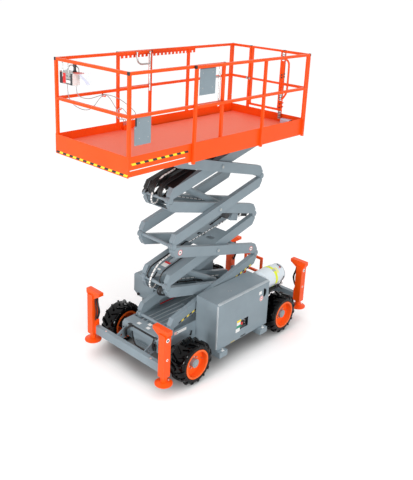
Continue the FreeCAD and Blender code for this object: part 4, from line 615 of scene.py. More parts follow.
def make_arm_welds():
    """Weld beads along the arms' chamfered ends."""
    for level in LEVELS:
        for kind, face in (("outer", OUTER_FACE), ("inner", INNER_FACE)):
            arm = ArmLine(level, (level % 2 == 1) == (kind == "outer"))
            piece = Piece("end_beads_%d_%s" % (level, kind), "arms_%d_%s" % (level, kind),
                          GREY, "grey_paint")
            for out in OUT.values():
                for y in (face, face - 0.075):
                    piece.rod(arm.at(0.000, 0.077, out * y), arm.at(0.078, 0.1555, out * y),
                              0.0035, sides=8)


def hose(name, body, route, r, look=BLACK):
    """Hose through the points of its route."""
    Piece(name, body, look).tube(route, r, 12)


# light line of each level: start, end, depth at the front pin, change of depth
# per metre, place across
LIGHT_LINE = {1: (0.45, 1.65, 0.073, 0.004, -LINE_Y), 2: (0.76, 1.58, 0.293, -0.090, -0.020),
              3: (0.40, 1.50, -0.008, 0.066, -LINE_Y), 4: (0.62, 1.80, 0.167, -0.089, -LINE_Y)}
RUN_START, RUN_STEP, RUN_WAVE = 0.30, 0.19, 0.004      # of the dark hoses


def make_arm_lines():
    """Hydraulic and electric lines clamped inside the inner arms."""
    for level in LEVELS:
        rising = level % 2 == 0
        arm = ArmLine(level, rising)
        body = "arms_%d_inner" % level
        if rising:
            make_front_loops(level, arm, body)
        start, end, depth, change, across = LIGHT_LINE[level]
        steps = [start + (end - start) * i / 12 for i in range(13)]
        route = arm.route([(u, depth + change * u) for u in steps], across)
        hose("arm_light_line_%d" % level, body, route, 0.006, LABEL)
        # columns: places, half length and half width of their clips
        clipped = [(route, 0.006, 0.008)]
        for side, w, r in (("left", 0.070, 0.008), ("right", 0.125, 0.009)):
            steps = [RUN_START + RUN_STEP * i for i in range(9)]
            route = arm.route([(u, w + RUN_WAVE * math.sin(u * 17)) for u in steps],
                              OUT[side] * LINE_Y)
            hose("arm_run_%d_%s" % (level, side), body, route, r)
            clipped.append((route, 0.009, r + 0.003))
        clips = Piece("arm_clips_%d" % level, body, BLACK)
        for route, length, width in clipped:
            for p in route[1:-1]:
                clips.block(p, arm.along() * length, arm.across() * width,
                            Vector((0, width, 0)))


# columns: place across, radius, bow; the other levels carry only the first two
LOOP_HOSES = ((-0.130, 0.010, 0.012), (0.110, 0.009, 0.004), (-0.108, 0.011, 0.006),
              (-0.086, 0.011, 0.010), (-0.062, 0.011, 0.004), (-0.042, 0.010, 0.012),
              (0.042, 0.010, 0.006), (0.064, 0.011, 0.010), (0.088, 0.011, 0.002))
FULL_BUNDLE_LEVEL = 4


def make_front_loops(level, arm, body):
    """Hoses that turn round the front end of the rising inner arms."""
    light = [arm.at(0.470, 0.178, -0.090), *arm.route(
        ((0.321, 0.194), (0.201, 0.191), (0.069, 0.130), (-0.020, 0.044), (-0.062, -0.033),
         (-0.050, -0.098), (0.012, -0.120)), -0.065), arm.at(0.060, -0.090, -0.070)]
    hose("arm_light_loop_%d" % level, body, light, 0.012, LABEL)
    Piece("arm_wrap_%d" % level, body, DARK).guard(light, 4, 0.0135)
    count = len(LOOP_HOSES) if level == FULL_BUNDLE_LEVEL else 2
    for k, (y, r, bow) in enumerate(LOOP_HOSES[:count]):
        route = arm.route(
            ((0.160, 0.020), (0.085, -0.010 - bow), (0.015, -bow), (-0.008 - bow, 0.055),
             (0.020 - bow, 0.118), (0.085, 0.160 + bow * 0.5), (0.180, 0.172 + bow * 0.3),
             (0.330, 0.172), (0.480, 0.170)), y)
        hose("arm_loop_%d_%d" % (level, k), body, route + [arm.at(0.600, 0.166, y * 1.02)], r)


def make_hose_tray():
    """Hose drum, tray and stub under the level-3 inner arms."""
    arm, body = ArmLine(3, False), "arms_3_inner"
    along, across, depth_y = arm.along(), arm.across(), Vector((0, 0.035, 0))
    drum = Piece("hose_drum", body, DARK, bevel=0.004)
    drum.rod(arm.at(1.390, 0.212, 0.105), arm.at(1.390, 0.212, 0.180), 0.054, sides=28)
    drum.block(arm.at(1.580, 0.170, 0.145), along * 0.330, across * 0.014, depth_y)
    drum.block(arm.at(1.800, 0.196, 0.140), along * 0.085, across * 0.030, depth_y)
    Piece("hose_tray", body, GREY, "grey_paint", bevel=0.005).block(
        arm.at(1.575, 0.232, 0.145), along * 0.080, across * 0.062, depth_y)
    Piece("hose_stub", body, LABEL).rod(
        arm.at(1.722, 0.160, 0.168), arm.at(1.706, 0.245, 0.168), 0.014)


def make_hinge_hoses():
    """Hoses at the lowest front hinge and the red strip on the chassis beside the arms."""
    arm, body = ArmLine(1, False), "arms_1_inner"
    hang = Piece("hinge_hoses", body, BLACK)
    for y, r, bow in ((0.152, 0.013, 0.0), (0.124, 0.011, 0.012), (0.172, 0.009, -0.010)):
        hang.tube(arm.route(
            ((0.060, 0.030), (-0.010, 0.022), (-0.042 - bow, 0.050), (-0.040 - bow, 0.105),
             (0.000, 0.138 + bow), (0.070, 0.150 + bow * 0.4), (0.140, 0.148),
             (0.220, 0.132)), y), r)
    Piece("hinge_hose_joint", body, LABEL).rod(
        arm.at(0.105, 0.152, 0.152), arm.at(0.145, 0.147, 0.152), 0.017)
    Piece("safety_strip", "chassis", RED).box(
        (-0.050, -0.3590, 0.598), (0.330, -0.3500, 0.616))


def make_arm_labels():
    """White label with a red head on the lower cross plate; the upper cross plate painted black as painted shade,
    for the deck's shadow over it.
    """
    arm = ArmLine(2, True)
    # columns: name, finish, first u, last u, first y, last y
    for name, look, u0, u1, y0, y1 in (("label", LABEL, 0.185, 0.262, -0.050, 0.055),
                                       ("label_head", RED, 0.262, 0.300, -0.050, 0.055),
                                       ("small_label", LABEL, 0.090, 0.120, -0.020, 0.030)):
        outline = [arm.at(u, PLATE_FACE, y) for u, y in ((u0, y0), (u1, y0), (u1, y1), (u0, y1))]
        Piece("plate_" + name, "arms_2_inner", look).prism(outline, arm.across() * PROUD)
    upper = ArmLine(4, True)

    def in_upper_plate_shade(c):
        offset = c - upper.at(0, 0, c.y)
        return (c.y < 0.186 and offset.dot(upper.across()) > 0.02
                and offset.dot(upper.along()) < 1.0)

    # painted shade: the upper cross plate is made black where the deck's shadow falls on it
    repaint("arms_4_inner", BLACK, in_upper_plate_shade)


make_arm_stripes()
make_arm_signs()
make_pin_caps()
make_arm_welds()
make_arm_lines()
make_hose_tray()
make_hinge_hoses()
make_arm_labels()


# ----------------------------------------------------------------- chassis
HOOD_TOP = 0.620
STEP_FACE = 0.2880                 # blank labels on the side steps
TROUGH_RIBS = 6


def make_chassis_labels():
    """Blank labels on the hood and side steps, strips along the chassis' sides."""
    labels = Piece("hood_labels", "chassis", LABEL)
    for x, y in ((0.965, -0.128), (0.880, 0.010), (0.962, 0.060)):
        labels.box((x - 0.026, y - 0.030, HOOD_TOP - FLAT),
                   (x + 0.026, y + 0.030, HOOD_TOP + FLAT))
    steps = Piece("step_labels", "chassis", LABEL)
    for x in (0.2205, -0.7185):
        for out in OUT.values():
            for x0, x1, y0, y1 in ((-0.034, 0.020, 0.826, 0.858), (-0.050, -0.020, 0.803, 0.818)):
                steps.box((x + x0, out * y0, STEP_FACE - 0.0015), (x + x1, out * y1, STEP_FACE))
    strips = Piece("side_strips", "chassis", LABEL)
    heads = Piece("strip_heads", "chassis", PINK)
    dots = Piece("strip_dots", "chassis", STRIPE_BLACK)
    for out in OUT.values():
        y = out * 0.372
        strips.box((0.500, y - out * FLAT, 0.548), (0.700, y + out * PROUD, 0.592))
        heads.box((0.700, y - out * FLAT, 0.548), (0.746, y + out * FLAT, 0.592))
        dots.stud((0.690, y, 0.570), (0, out * 0.0014, 0), 0.010, sides=16)


def make_chassis_trim():
    """Lever, beam stickers, trough ribs and cabinet latch; the ribs' lighter grey is a painted highlight for lit
    strips on the trough floor.
    """
    Piece("chassis_lever", "chassis", BLACK).rod(
        (0.4185, 0.372, 0.430), (0.4185, 0.392, 0.434), 0.011).rod(
        (0.4185, 0.388, 0.430), (0.4085, 0.396, 0.500), 0.010)
    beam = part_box("beam_front")[1]
    pins = Piece("beam_stickers", "chassis", PINK)
    for y in (-0.470, 0.480):
        pins.stud((beam.x - 0.016, y, beam.z - FLAT), (0, 0, 2 * FLAT), 0.014)
    # painted highlight: the ribs are a lighter grey than the chassis, standing for lit strips on the trough floor
    ribs = Piece("trough_ribs_lit_strips", "chassis", HINGE_GREY, bevel=0.002)
    for k in range(TROUGH_RIBS):
        y = -0.240 + 0.080 * k
        ribs.box((-0.300, y - 0.006, 0.565), (0.830, y + 0.006, 0.578))
    Piece("cabinet_latch", "chassis", BLACK).stud(
        (0.4720, -0.690, 0.700), (0.024, 0, 0), 0.022)


NOSE_BACK, NOSE_FACE = 1.030, 1.062
COVER_MIDDLE = 0.070                # y of the dished cover
# columns: height, depth of the dish, half width
COVER_ROWS = ((0.574, 0.012, 0.215), (0.545, 0.020, 0.222), (0.460, 0.038, 0.212),
              (0.380, 0.030, 0.190), (0.330, 0.010, 0.150))
# seam round the cover: y, z, distance before the face
SEAM = ((-0.160, 0.580, 0), (-0.160, 0.480, 0.004), (-0.130, 0.370, 0.002), (-0.090, 0.322, 0),
        (0.070, 0.312, 0), (0.225, 0.322, 0), (0.275, 0.375, 0.002), (0.302, 0.480, 0.004),
        (0.300, 0.580, 0))
# radius and route of each hose
NOSE_HOSES = (
    (0.013, ((1.050, -0.150, 0.605), (1.110, -0.185, 0.600), (1.130, -0.230, 0.540),
             (1.120, -0.250, 0.450), (1.080, -0.255, 0.380))),
    (0.010, ((1.040, -0.185, 0.600), (1.085, -0.215, 0.585), (1.100, -0.245, 0.520),
             (1.085, -0.262, 0.430))),
    (0.011, ((1.060, 0.300, 0.600), (1.105, 0.318, 0.575), (1.112, 0.325, 0.500),
             (1.095, 0.322, 0.430))),
    (0.009, ((1.055, 0.338, 0.590), (1.082, 0.345, 0.540), (1.080, 0.345, 0.460))))


def make_nose():
    """Dished cover, clamps and hoses in front of the hood."""
    rings = []
    for z, deep, wide in COVER_ROWS:
        shares = [-1 + k / 4 for k in range(9)]
        front = [Vector((NOSE_FACE - deep * (1 - t * t) * 0.9, COVER_MIDDLE + wide * t, z))
                 for t in shares]
        rings.append(front + [Vector((NOSE_BACK - 0.010, p.y, z)) for p in reversed(front)])
    Piece("nose_cover", "chassis", GREY, "grey_paint", bevel=0.004).skin(rings)
    # painted shadow: the black strip under the hood's front edge stands for the shadow gap there; the black tube
    # round the cover is its trim
    Piece("nose_shadow_strip_and_trim", "chassis", BLACK).box(
        (NOSE_BACK, -0.250, 0.601), (NOSE_FACE + 0.014, 0.305, 0.611)).tube(
        [(NOSE_FACE + proud, y, z) for y, z, proud in SEAM], 0.008)
    hoses = Piece("nose_hoses", "chassis", BLACK)
    for r, route in NOSE_HOSES:
        hoses.tube(route, r)
    fittings = Piece("nose_fittings", "chassis", STEEL)
    for y, z in ((-0.165, 0.606), (-0.120, 0.600), (0.310, 0.596), (0.318, 0.470)):
        fittings.stud((1.048, y, z), (0.030, 0, 0), 0.011, sides=6)
    clamps = Piece("nose_clamps", "chassis", DARK, bevel=0.004)
    for y in (-0.205, 0.322):
        clamps.box((1.020, y - 0.028, 0.585), (NOSE_FACE, y + 0.028, 0.618))


# ---------------------------------------------------------------- cabinets
HINGE_TEETH = 44
CATCH = (-0.690, 0.786)              # x, z of the round catch label
# labels of the left door: name, finish, low x, high x, low z, high z
DOOR_PLATES = (("yellow", YELLOW, -0.222, -0.130, 0.578, 0.610),
               ("white", LABEL, -0.214, -0.130, 0.530, 0.576),
               ("green", GREEN, -0.214, -0.126, 0.486, 0.522),
               ("low", LABEL, -0.206, -0.112, 0.420, 0.480))


def make_hinges(lo, hi):
    """Serrated hinge strip over each door and light edge beside it."""
    step = (hi.x - lo.x) / HINGE_TEETH
    for side, out in OUT.items():
        strip = Piece("hinge_strip_" + side, "chassis", HINGE_GREY)
        for k in range(HINGE_TEETH):
            x = lo.x + step * k
            strip.box((x + 0.003, out * (hi.y - 0.040), 1.0130),
                      (x + step - 0.010, out * (hi.y - 0.0005), 1.0345))
        strip.box((lo.x, out * (hi.y - 0.036), 1.0135), (hi.x, out * (hi.y - 0.006), 1.0280))
        Piece("cabinet_edge_" + side, "chassis", HINGE_GREY, bevel=0.0015).box(
            (hi.x + 0.002, out * (hi.y - 0.026), lo.z + 0.020),
            (hi.x + 0.0125, out * (hi.y - 0.0015), hi.z - 0.004))


def make_ground_controls():
    """Dark face, stop button, blank label and keys behind the left door's window."""
    lo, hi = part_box("control_panel")
    y = hi.y
    Piece("panel_face", "chassis", BLACK).box(
        (lo.x + 0.006, y - 0.002, 0.452), (hi.x - 0.006, y + 0.002, 0.588))
    Piece("stop_button", "chassis", RED).rod(
        (-0.262, y, 0.520), (-0.262, y + 0.020, 0.520), 0.011).rod(
        (-0.262, y + 0.014, 0.520), (-0.262, y + 0.030, 0.520), 0.023)
    Piece("panel_label", "chassis", GREEN).box(
        (-0.300, y, 0.458), (-0.225, y + 0.003, 0.486))
    keys = Piece("panel_keys", "chassis", STEEL)
    for x, z in ((-0.310, 0.565), (-0.345, 0.540), (-0.345, 0.500)):
        keys.stud((x, y, z), (0, 0.014, 0), 0.008)


def make_door_labels(face):
    """Blank labels beside the left door's window."""
    for name, look, x0, x1, z0, z1 in DOOR_PLATES:
        Piece("door_plate_" + name, "door_left", look).box(
            (x0, face - FLAT, z0), (x1, face + FLAT, z1))


def make_door_catch(face):
    """Blank label and red ring at the left door's catch, slot and tag at its lower edge."""
    x, z = CATCH
    Piece("catch_label", "door_left", LABEL).box(
        (-0.690, face - FLAT, 0.862), (-0.625, face + FLAT, 0.915)).stud(
        (x, face, z), (0, 0.0012, 0), 0.044, sides=28)
    Piece("catch_ring", "door_left", RED).turned(
        band(0.029, 0.038, 0.0012, 0.0018), (x, face, z), (0, 1, 0), 28).box(
        (x - 0.022, face + 0.0012, z - 0.005), (x + 0.022, face + 0.0018, z + 0.005))
    Piece("door_slot", "door_left", BLACK).box(
        (-0.350, face - FLAT, 0.304), (-0.235, face + FLAT, 0.324))
    Piece("door_tag", "door_left", TAG).box(
        (-0.105, face - FLAT, 0.298), (-0.005, face + PROUD, 0.312))


def make_tyre_bay():
    """Rivets on the left cabinet, hoses and plug between its rear end and the tyre."""
    rivets = Piece("cabinet_rivets", "chassis", STEEL)
    for x, y in ((-0.128, 0.600), (-0.165, 0.625)):
        rivets.stud((x, y, 1.029), (0, 0, 0.005), 0.007, sides=12)
    hoses = Piece("tyre_bay_hoses", "chassis", BLACK)
    for k, (y, z) in enumerate(((0.455, 0.655), (0.500, 0.640), (0.545, 0.662), (0.600, 0.642))):
        hoses.tube([(-0.880, y, z), (-0.960, y + 0.020, z + 0.020),
                    (-1.060, y - 0.010, z - 0.012), (-1.170, y + 0.012, z + 0.012),
                    (-1.290, y - 0.025, z - 0.020), (-1.400, y - 0.080, z - 0.060)],
                   0.011 - 0.001 * k)
    Piece("tyre_bay_plug", "chassis", LABEL).rod(
        (-0.965, 0.632, 0.656), (-0.985, 0.640, 0.648), 0.011)


def make_cabinet_trim():
    """Everything on and behind the left door, and the hinge strips of both doors."""
    lo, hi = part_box("door_left")
    make_hinges(lo, hi)
    make_door_labels(hi.y)
    make_ground_controls()
    make_door_catch(hi.y)
    make_tyre_bay()


# --------------------------------------------------------------- gas bottle
GAS_COLLAR_R = 0.146
STRAP_X, STRAP_HALF = 0.235, 0.024   # from the collar's end


def make_gas_valve(lo, hi, y, z):
    """Valve, plug and lines at the bottle's end."""
    valve = Piece("gas_valve", "chassis", STEEL)
    x = lo.x + 0.075
    valve.stud((x, y, z), (-0.045, 0, 0), 0.022)
    valve.stud((x - 0.045, y, z), (-0.017, 0, 0), 0.030, sides=8)
    valve.stud((x - 0.025, y, z), (0, 0.050, -0.030), 0.013)
    valve.rod((lo.x + 0.010, hi.y - 0.055, lo.z + 0.010),
              (lo.x + 0.080, hi.y - 0.050, lo.z + 0.006), 0.017)
    valve.stud((lo.x + 0.080, hi.y - 0.050, lo.z + 0.006), (0.020, 0, 0), 0.026, sides=6)
    line = Piece("gas_line", "chassis", BLACK)
    line.tube([(x - 0.025, y + 0.050, z - 0.030), (x - 0.040, y + 0.085, z - 0.060),
               (x - 0.030, y + 0.115, z - 0.110), (x + 0.005, hi.y - 0.055, lo.z + 0.008),
               (x + 0.060, hi.y - 0.045, lo.z - 0.010), (x + 0.160, hi.y - 0.070, lo.z - 0.030)],
              0.009)
    line.tube([(x + 0.010, hi.y - 0.060, lo.z - 0.002), (x + 0.030, hi.y - 0.020, lo.z - 0.020),
               (x - 0.010, hi.y - 0.010, lo.z - 0.050), (x - 0.040, hi.y - 0.060, lo.z - 0.070)],
              0.011)


def make_gas_trim():
    """Strap, labels, valve and handle openings of the gas bottle."""
    lo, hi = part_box("gas_cylinder")
    y, z = (lo.y + hi.y) / 2, (lo.z + hi.z) / 2
    r = (hi.z - lo.z) / 2
    strap_x = lo.x + STRAP_X

    def outward(degrees):
        a = math.radians(degrees)
        return Vector((0, math.cos(a), math.sin(a)))

    def patch(piece, x, degrees, radius, half_x, half_round, half_out):
        """Block on the bottle's skin, at an angle over +Y."""
        piece.block(Vector((x, y, z)) + outward(degrees) * radius, Vector((half_x, 0, 0)),
                    outward(degrees + 90) * half_round, outward(degrees) * half_out)

    Piece("gas_strap", "chassis", STRAP).turned(
        band(r + 0.0005, r + 0.004, -STRAP_HALF, STRAP_HALF), (strap_x, y, z), (1, 0, 0), 72)
    tag = Piece("gas_labels", "chassis", PALE_YELLOW)
    for k in range(5):
        patch(tag, strap_x - 0.058, 38 + 7 * k, r + FLAT, 0.030, 0.0115, PROUD)
    spot = Vector((lo.x + 0.070, y, z)) + outward(60) * (r - 0.004)
    Piece("gas_spot", "chassis", RED).stud(spot, outward(60) * 0.0052, 0.011, sides=16)
    buckle = Piece("gas_buckle", "chassis", STEEL, bevel=0.003)
    for degrees in (58, -30):
        patch(buckle, strap_x, degrees, r + 0.006, 0.028, 0.022, 0.006)
    make_gas_valve(lo, hi, y, z)
    Piece("gas_collar_edge", "chassis", DARK).turned(
        band(GAS_COLLAR_R - 0.004, GAS_COLLAR_R + 0.0015, -0.002, 0.004),
        (lo.x, y, z), (1, 0, 0), 48)
    slots = Piece("gas_collar_slots", "chassis", DARK, bevel=0.004)
    for k in range(4):
        patch(slots, lo.x + 0.036, 72 + 90 * k, GAS_COLLAR_R, 0.012, 0.045, 0.0012)


make_chassis_labels()
make_chassis_trim()
make_nose()
make_cabinet_trim()
make_gas_trim()


# ---------------------------------------------------------------- platform
TUBE = 0.036                       # rails and posts
DASH_HEIGHT, DASH_SLANT = 0.028, 0.6
SIDE_DASHES, FRONT_DASHES = 7, 10  # on the extension
GATE_Y0, GATE_Y1 = -0.335, 0.275   # clear width between the gate's posts


def hazard(name, body, corner, step, through, count):
    """Row of slanted black and yellow dashes on a flat board."""
    height, slant = Vector((0, 0, DASH_HEIGHT)), step.normalized() * DASH_HEIGHT * DASH_SLANT
    for odd, (tint, look) in enumerate((("black", STRIPE_BLACK), ("yellow", YELLOW))):
        piece = Piece("%s_%s" % (name, tint), body, look)
        for k in range(count):
            a = corner + step * (k + 0.5 * odd)
            b = a + step * 0.5
            piece.prism([a, b, b + slant + height, a + slant + height], through)


def make_deck_trim():
    """Dashes on the extension's toe boards, and a white line on each side board that is a painted highlight."""
    lo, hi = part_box("deck_extension")
    x0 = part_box("deck_main")[1].x + 0.030
    for side, out in OUT.items():
        y = out * hi.y
        hazard("ext_side_dashes_" + side, "extension", Vector((x0, y, hi.z - 0.108)),
               Vector(((hi.x - 0.030 - x0) / (SIDE_DASHES + 0.2), 0, 0)),
               Vector((0, out * PROUD, 0)), SIDE_DASHES)
        # painted highlight: thin white line along each side toe board
        Piece("ext_side_highlight_" + side, "extension", LABEL).box(
            (x0 + 0.06, y - out * FLAT, hi.z - 0.170),
            (hi.x - 0.020, y + out * PROUD, hi.z - 0.160))
    hazard("ext_front_dashes", "extension", Vector((hi.x, -hi.y + 0.006, lo.z + 0.012)),
           Vector((0, (2 * hi.y - 0.030) / FRONT_DASHES, 0)), Vector((PROUD, 0, 0)),
           FRONT_DASHES)


def make_caps():
    """Black plastic caps in the ends of the rails and posts."""
    half = (TUBE + 0.003) / 2

    def rail_cap(piece, x, y, top, inward, proud):
        piece.box((x - inward * proud, y - half, top - TUBE - 0.0015),
                  (x + inward * 0.014, y + half, top + 0.0025))

    main = Piece("main_caps", "platform", BLACK, bevel=0.004)
    for side in OUT:
        lo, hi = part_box("rails_" + side)
        for x, inward in ((lo.x, 1), (hi.x, -1)):
            rail_cap(main, x, (lo.y + hi.y) / 2, hi.z, inward, 0.004)
    lo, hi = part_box("rails_extension")
    ext = Piece("extension_caps", "extension", BLACK, bevel=0.004)
    for out in OUT.values():
        for x, inward in ((lo.x, 1), (hi.x, -1)):
            rail_cap(ext, x, out * (hi.y - TUBE / 2), hi.z, inward, 0.003)
    lo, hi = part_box("rails_rear")
    rear = Piece("gate_post_caps", "platform", BLACK, bevel=0.003)
    for y in (GATE_Y1 + TUBE / 2, GATE_Y0 - TUBE / 2):
        rear.box((lo.x - 0.002, y - half, hi.z - 0.006),
                 (lo.x + TUBE + 0.002, y + half, hi.z + 0.003))


SIGN_HALF = 0.0015                 # half the plates' thickness


def make_studs(name, body, places):
    """Domed rivets on a sign's left face."""
    studs = Piece("sign_rivets_" + name, body, STEEL)
    for p in places:
        studs.stud(p, (0, 0.004, 0), 0.007, 0.0042, sides=14)


def make_front_sign():
    """Blank grey plate with a notch, on the extension's left rails."""
    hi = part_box("rails_extension")[1]
    y = hi.y - TUBE / 2
    face = y + SIGN_HALF
    x0, x1 = hi.x - 0.352, hi.x - 0.097
    z1 = hi.z - 0.502 - TUBE / 2
    z0 = hi.z - 0.847
    notch = x1 - 0.030
    outline = [(x0, z0), (x1, z0), (x1, z1 - 0.100), (notch, z1 - 0.100), (notch, z1), (x0, z1)]
    Piece("sign_plate_front", "extension", GREY, "grey_paint").prism(
        [Vector((x, y - SIGN_HALF, z)) for x, z in outline],
        Vector((0, 2 * SIGN_HALF, 0)))
    Piece("sign_slot_front", "extension", BLACK).box(
        (notch, y - 0.008, z1 - 0.100), (notch + 0.012, y + 0.008, z1 - 0.006))
    places = [(x, z) for x in (x0 + 0.045, x1 - 0.075) for z in (z0 + 0.080, z1 - 0.065)]
    places += [(x1 - 0.012, z0 + 0.012), (x1 - 0.012, z1 - 0.125)]
    make_studs("front", "extension", [(x, face, z) for x, z in places])


def make_main_sign():
    """Blank grey plate on the main deck's left rails, with a black line along its top that is a painted shadow
    under the rail.
    """
    lo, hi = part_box("rails_left")
    y = (lo.y + hi.y) / 2
    x0, x1 = hi.x - 0.363, hi.x - 0.078
    z1, z0 = hi.z - TUBE, hi.z - 0.367
    Piece("sign_plate_main", "platform", GREY, "grey_paint").box(
        (x0, y - SIGN_HALF, z0), (x1, y + SIGN_HALF, z1))
    # painted shadow: black line under the rail along the plate's top edge
    Piece("sign_shadow_line_main", "platform", BLACK).box(
        (x0 + 0.02, y - 0.004, z1 - 0.010), (x1 - 0.01, y + 0.004, z1))
    make_studs("main", "platform", [(x, y + SIGN_HALF, z) for x in (x0 + 0.055, x1 - 0.055)
                                    for z in (z0 + 0.085, z1 - 0.060)])


HINGE_Y = 0.300                    # of the gate's sprung hinges
HINGE_Z = (3.455, 3.735, 4.335)


def make_gate_hinges(x):
    """Sprung hinges with their bolts and brackets."""
    springs = Piece("gate_springs", "platform", STEEL)
    bolts = Piece("gate_bolts", "platform", DARK)
    for z in HINGE_Z:
        for k in range(5):
            springs.stud((x + 0.004, HINGE_Y, z - 0.060 + 0.026 * k), (0, 0, 0.016), 0.024)
        springs.box((x - 0.030, HINGE_Y - 0.024, z - 0.050),
                    (x + 0.004, HINGE_Y - 0.010, z + 0.050))
        bolts.stud((x + 0.004, HINGE_Y, z - 0.058), (0, 0, 0.116), 0.020)
    for z in (3.560, 3.620, 4.020, 4.060):
        bolts.stud((x - 0.002, HINGE_Y - 0.010, z), (0.014, 0, 0), 0.010, sides=8)
        bolts.stud((x - 0.002, HINGE_Y + 0.040, z + 0.02), (0.014, 0, 0), 0.009, sides=8)
    bracket = Piece("gate_brackets", "platform", ORANGE, "orange_paint", bevel=0.002)
    for z in (3.580, 3.640):
        bracket.box((x - 0.002, HINGE_Y - 0.020, z), (x + 0.012, HINGE_Y + 0.062, z + 0.016))


def make_gate_latch(x):
    """Two cheeks and the bolt between them, on the right post."""
    y = GATE_Y0 - TUBE / 2
    Piece("gate_latch", "platform", STEEL, bevel=0.002).box(
        (x - 0.012, y - 0.036, 3.910), (x + 0.014, y - 0.008, 3.942)).box(
        (x - 0.012, y + 0.018, 3.908), (x + 0.014, y + 0.040, 3.938)).rod(
        (x + 0.010, y - 0.01, 3.925), (x + 0.034, y - 0.01, 3.925), 0.008)


def make_grab_loop(x):
    """Bent orange handle on the post beside the gate."""
    z0, z1 = 3.690, 4.300
    y = GATE_Y1 + TUBE
    Piece("grab_loop", "platform", ORANGE, "orange_paint").tube(
        [(x + 0.002, y - 0.004, z0), (x + 0.010, y + 0.040, z0 + 0.030),
         (x + 0.014, y + 0.095, z0 + 0.120), (x + 0.014, y + 0.105, z0 + 0.22),
         (x + 0.014, y + 0.105, z1 - 0.110), (x + 0.014, y + 0.092, z1 - 0.035),
         (x + 0.008, y + 0.045, z1 - 0.002), (x + 0.002, y - 0.004, z1)], 0.015, 14)


def make_gate_trim():
    """Fittings of the gate and its posts, just inside the gate's face."""
    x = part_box("gate")[1].x - 0.009
    make_gate_hinges(x)
    make_gate_latch(x)
    make_grab_loop(x)


def make_post_trim():
    """Second corner posts, clips on the posts, and the document box's look and cap."""
    posts = Piece("corner_posts", "platform", ORANGE, "orange_paint", bevel=0.003)
    tags = Piece("post_clips", "platform", STEEL)
    for side, out in (("left", -1), ("right", 1)):
        lo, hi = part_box("rails_" + side)
        posts.box((lo.x + TUBE + 0.001, lo.y + 0.002, 3.462),
                  (lo.x + 2 * TUBE - 0.004, hi.y - 0.002, hi.z - TUBE + 0.001))
        y = lo.y if out < 0 else hi.y
        for x in (lo.x + TUBE / 2, hi.x - TUBE / 2):
            for z in (3.60, 3.86, 4.12):
                tags.stud((x, y - out * 0.001, z), (0, out * 0.007, 0), 0.007, sides=8)
    lo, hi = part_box("manual_box")
    repaint("manual_box", SLEEVE, lambda c: True)
    Piece("manual_cap", "platform", DARK, bevel=0.002).box(
        (lo.x + 0.004, hi.y - 0.004, lo.z + 0.004),
        (hi.x + 0.001, hi.y + 0.008, hi.z - 0.006))


make_deck_trim()
make_caps()
make_front_sign()
make_main_sign()
make_gate_trim()
make_post_trim()


# ------------------------------------------------------------- control box
CASE_Y0, CASE_Y1 = -0.648, -0.398
CASE_DEPTH = 0.118


def make_control_box():
    """Upper controls: case, slim hangers, cord glands, guard loop, flap and lid."""
    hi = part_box("control_box")[1]
    rail = hi.x
    x1 = rail - 0.008
    x0 = x1 - CASE_DEPTH
    top, low = hi.z - 0.161, hi.z - 0.308
    y0, y1 = CASE_Y0, CASE_Y1
    case = Piece("control_case", "extension", STEEL, "box_plastic", ("control_box",), 0.003)
    case.box((x0, y0, low), (x1, y1, top))
    for y in (y0 + 0.060, y1 - 0.074):
        case.box((rail - 0.010, y, top - 0.060), (rail, y + 0.014, hi.z))
    for y in (y0 + 0.048, y0 + 0.230):
        case.stud((x0 + 0.0395, y, low + 0.002), (0, 0, -0.025), 0.010)
    # columns: y, height over the case
    route = ((y0 + 0.020, -0.005), (y0 + 0.030, 0.016), (y0 + 0.080, 0.070),
             (y1 - 0.080, 0.076), (y1 - 0.012, 0.064), (y1 + 0.007, 0.030), (y1 + 0.007, -0.070))
    Piece("control_guard", "extension", STEEL).tube(
        [(x0 + 0.020, y, top + z) for y, z in route], 0.0065)
    Piece("control_flap", "extension", FLAP, bevel=0.002).box(
        (x0 + 0.010, y1 - 0.005, top + 0.002), (x1 - 0.022, y1 + 0.105, top + 0.012))
    Piece("control_lid", "extension", STEEL, bevel=0.003).box(
        (x0 - 0.001, y0, top - 0.006), (x1 + 0.002, y1 + 0.003, top + 0.006))
    make_control_face(x0, x1, low, top)
    make_stick(x0 + 0.045, y1 - 0.040, top)


def make_control_face(x0, x1, low, top):
    """Dark, red and white fields on the front and the side of the case."""
    y0, y1 = CASE_Y0, CASE_Y1
    face0, face1 = x1 - 0.001, x1 + 0.0020
    dark = Piece("control_face_dark", "extension", DARK)
    dark.box((face0, y0 + 0.004, low + 0.004), (face1, y0 + 0.062, top - 0.010))
    dark.box((face0, y1 - 0.030, low + 0.002), (face1, y1 + 0.003, top - 0.006))
    for z in (low + 0.008, low + 0.060, top - 0.046):
        dark.box((face0, y0 + 0.135, z), (x1 + 0.0026, y1 - 0.030, z + 0.008))
    Piece("control_face_red", "extension", RED, bevel=0.001).box(
        (face0, y0 + 0.066, low + 0.012), (face1, y0 + 0.122, top - 0.012))
    Piece("control_face_white", "extension", LABEL).box(
        (face0, y0 + 0.135, low + 0.022), (face1, y1 - 0.032, low + 0.056)).box(
        (x0 + 0.004, y1 - 0.001, low + 0.004), (x1 - 0.006, y1 + 0.002, top - 0.010))


def make_stick(x, y, top):
    """Control stick on a ribbed boot."""
    boot = Piece("stick_boot", "extension", BLACK, bevel=0.002)
    boot.rod((x, y, top - 0.005), (x, y, top + 0.118), 0.017)
    for k in range(4):
        boot.stud((x, y, top + 0.006 * k + 0.004), (0, 0, 0.005), 0.030 - 0.003 * k)
    boot.rod((x, y, top + 0.070), (x, y, top + 0.118), 0.023)


SLEEVE_X = 1.830


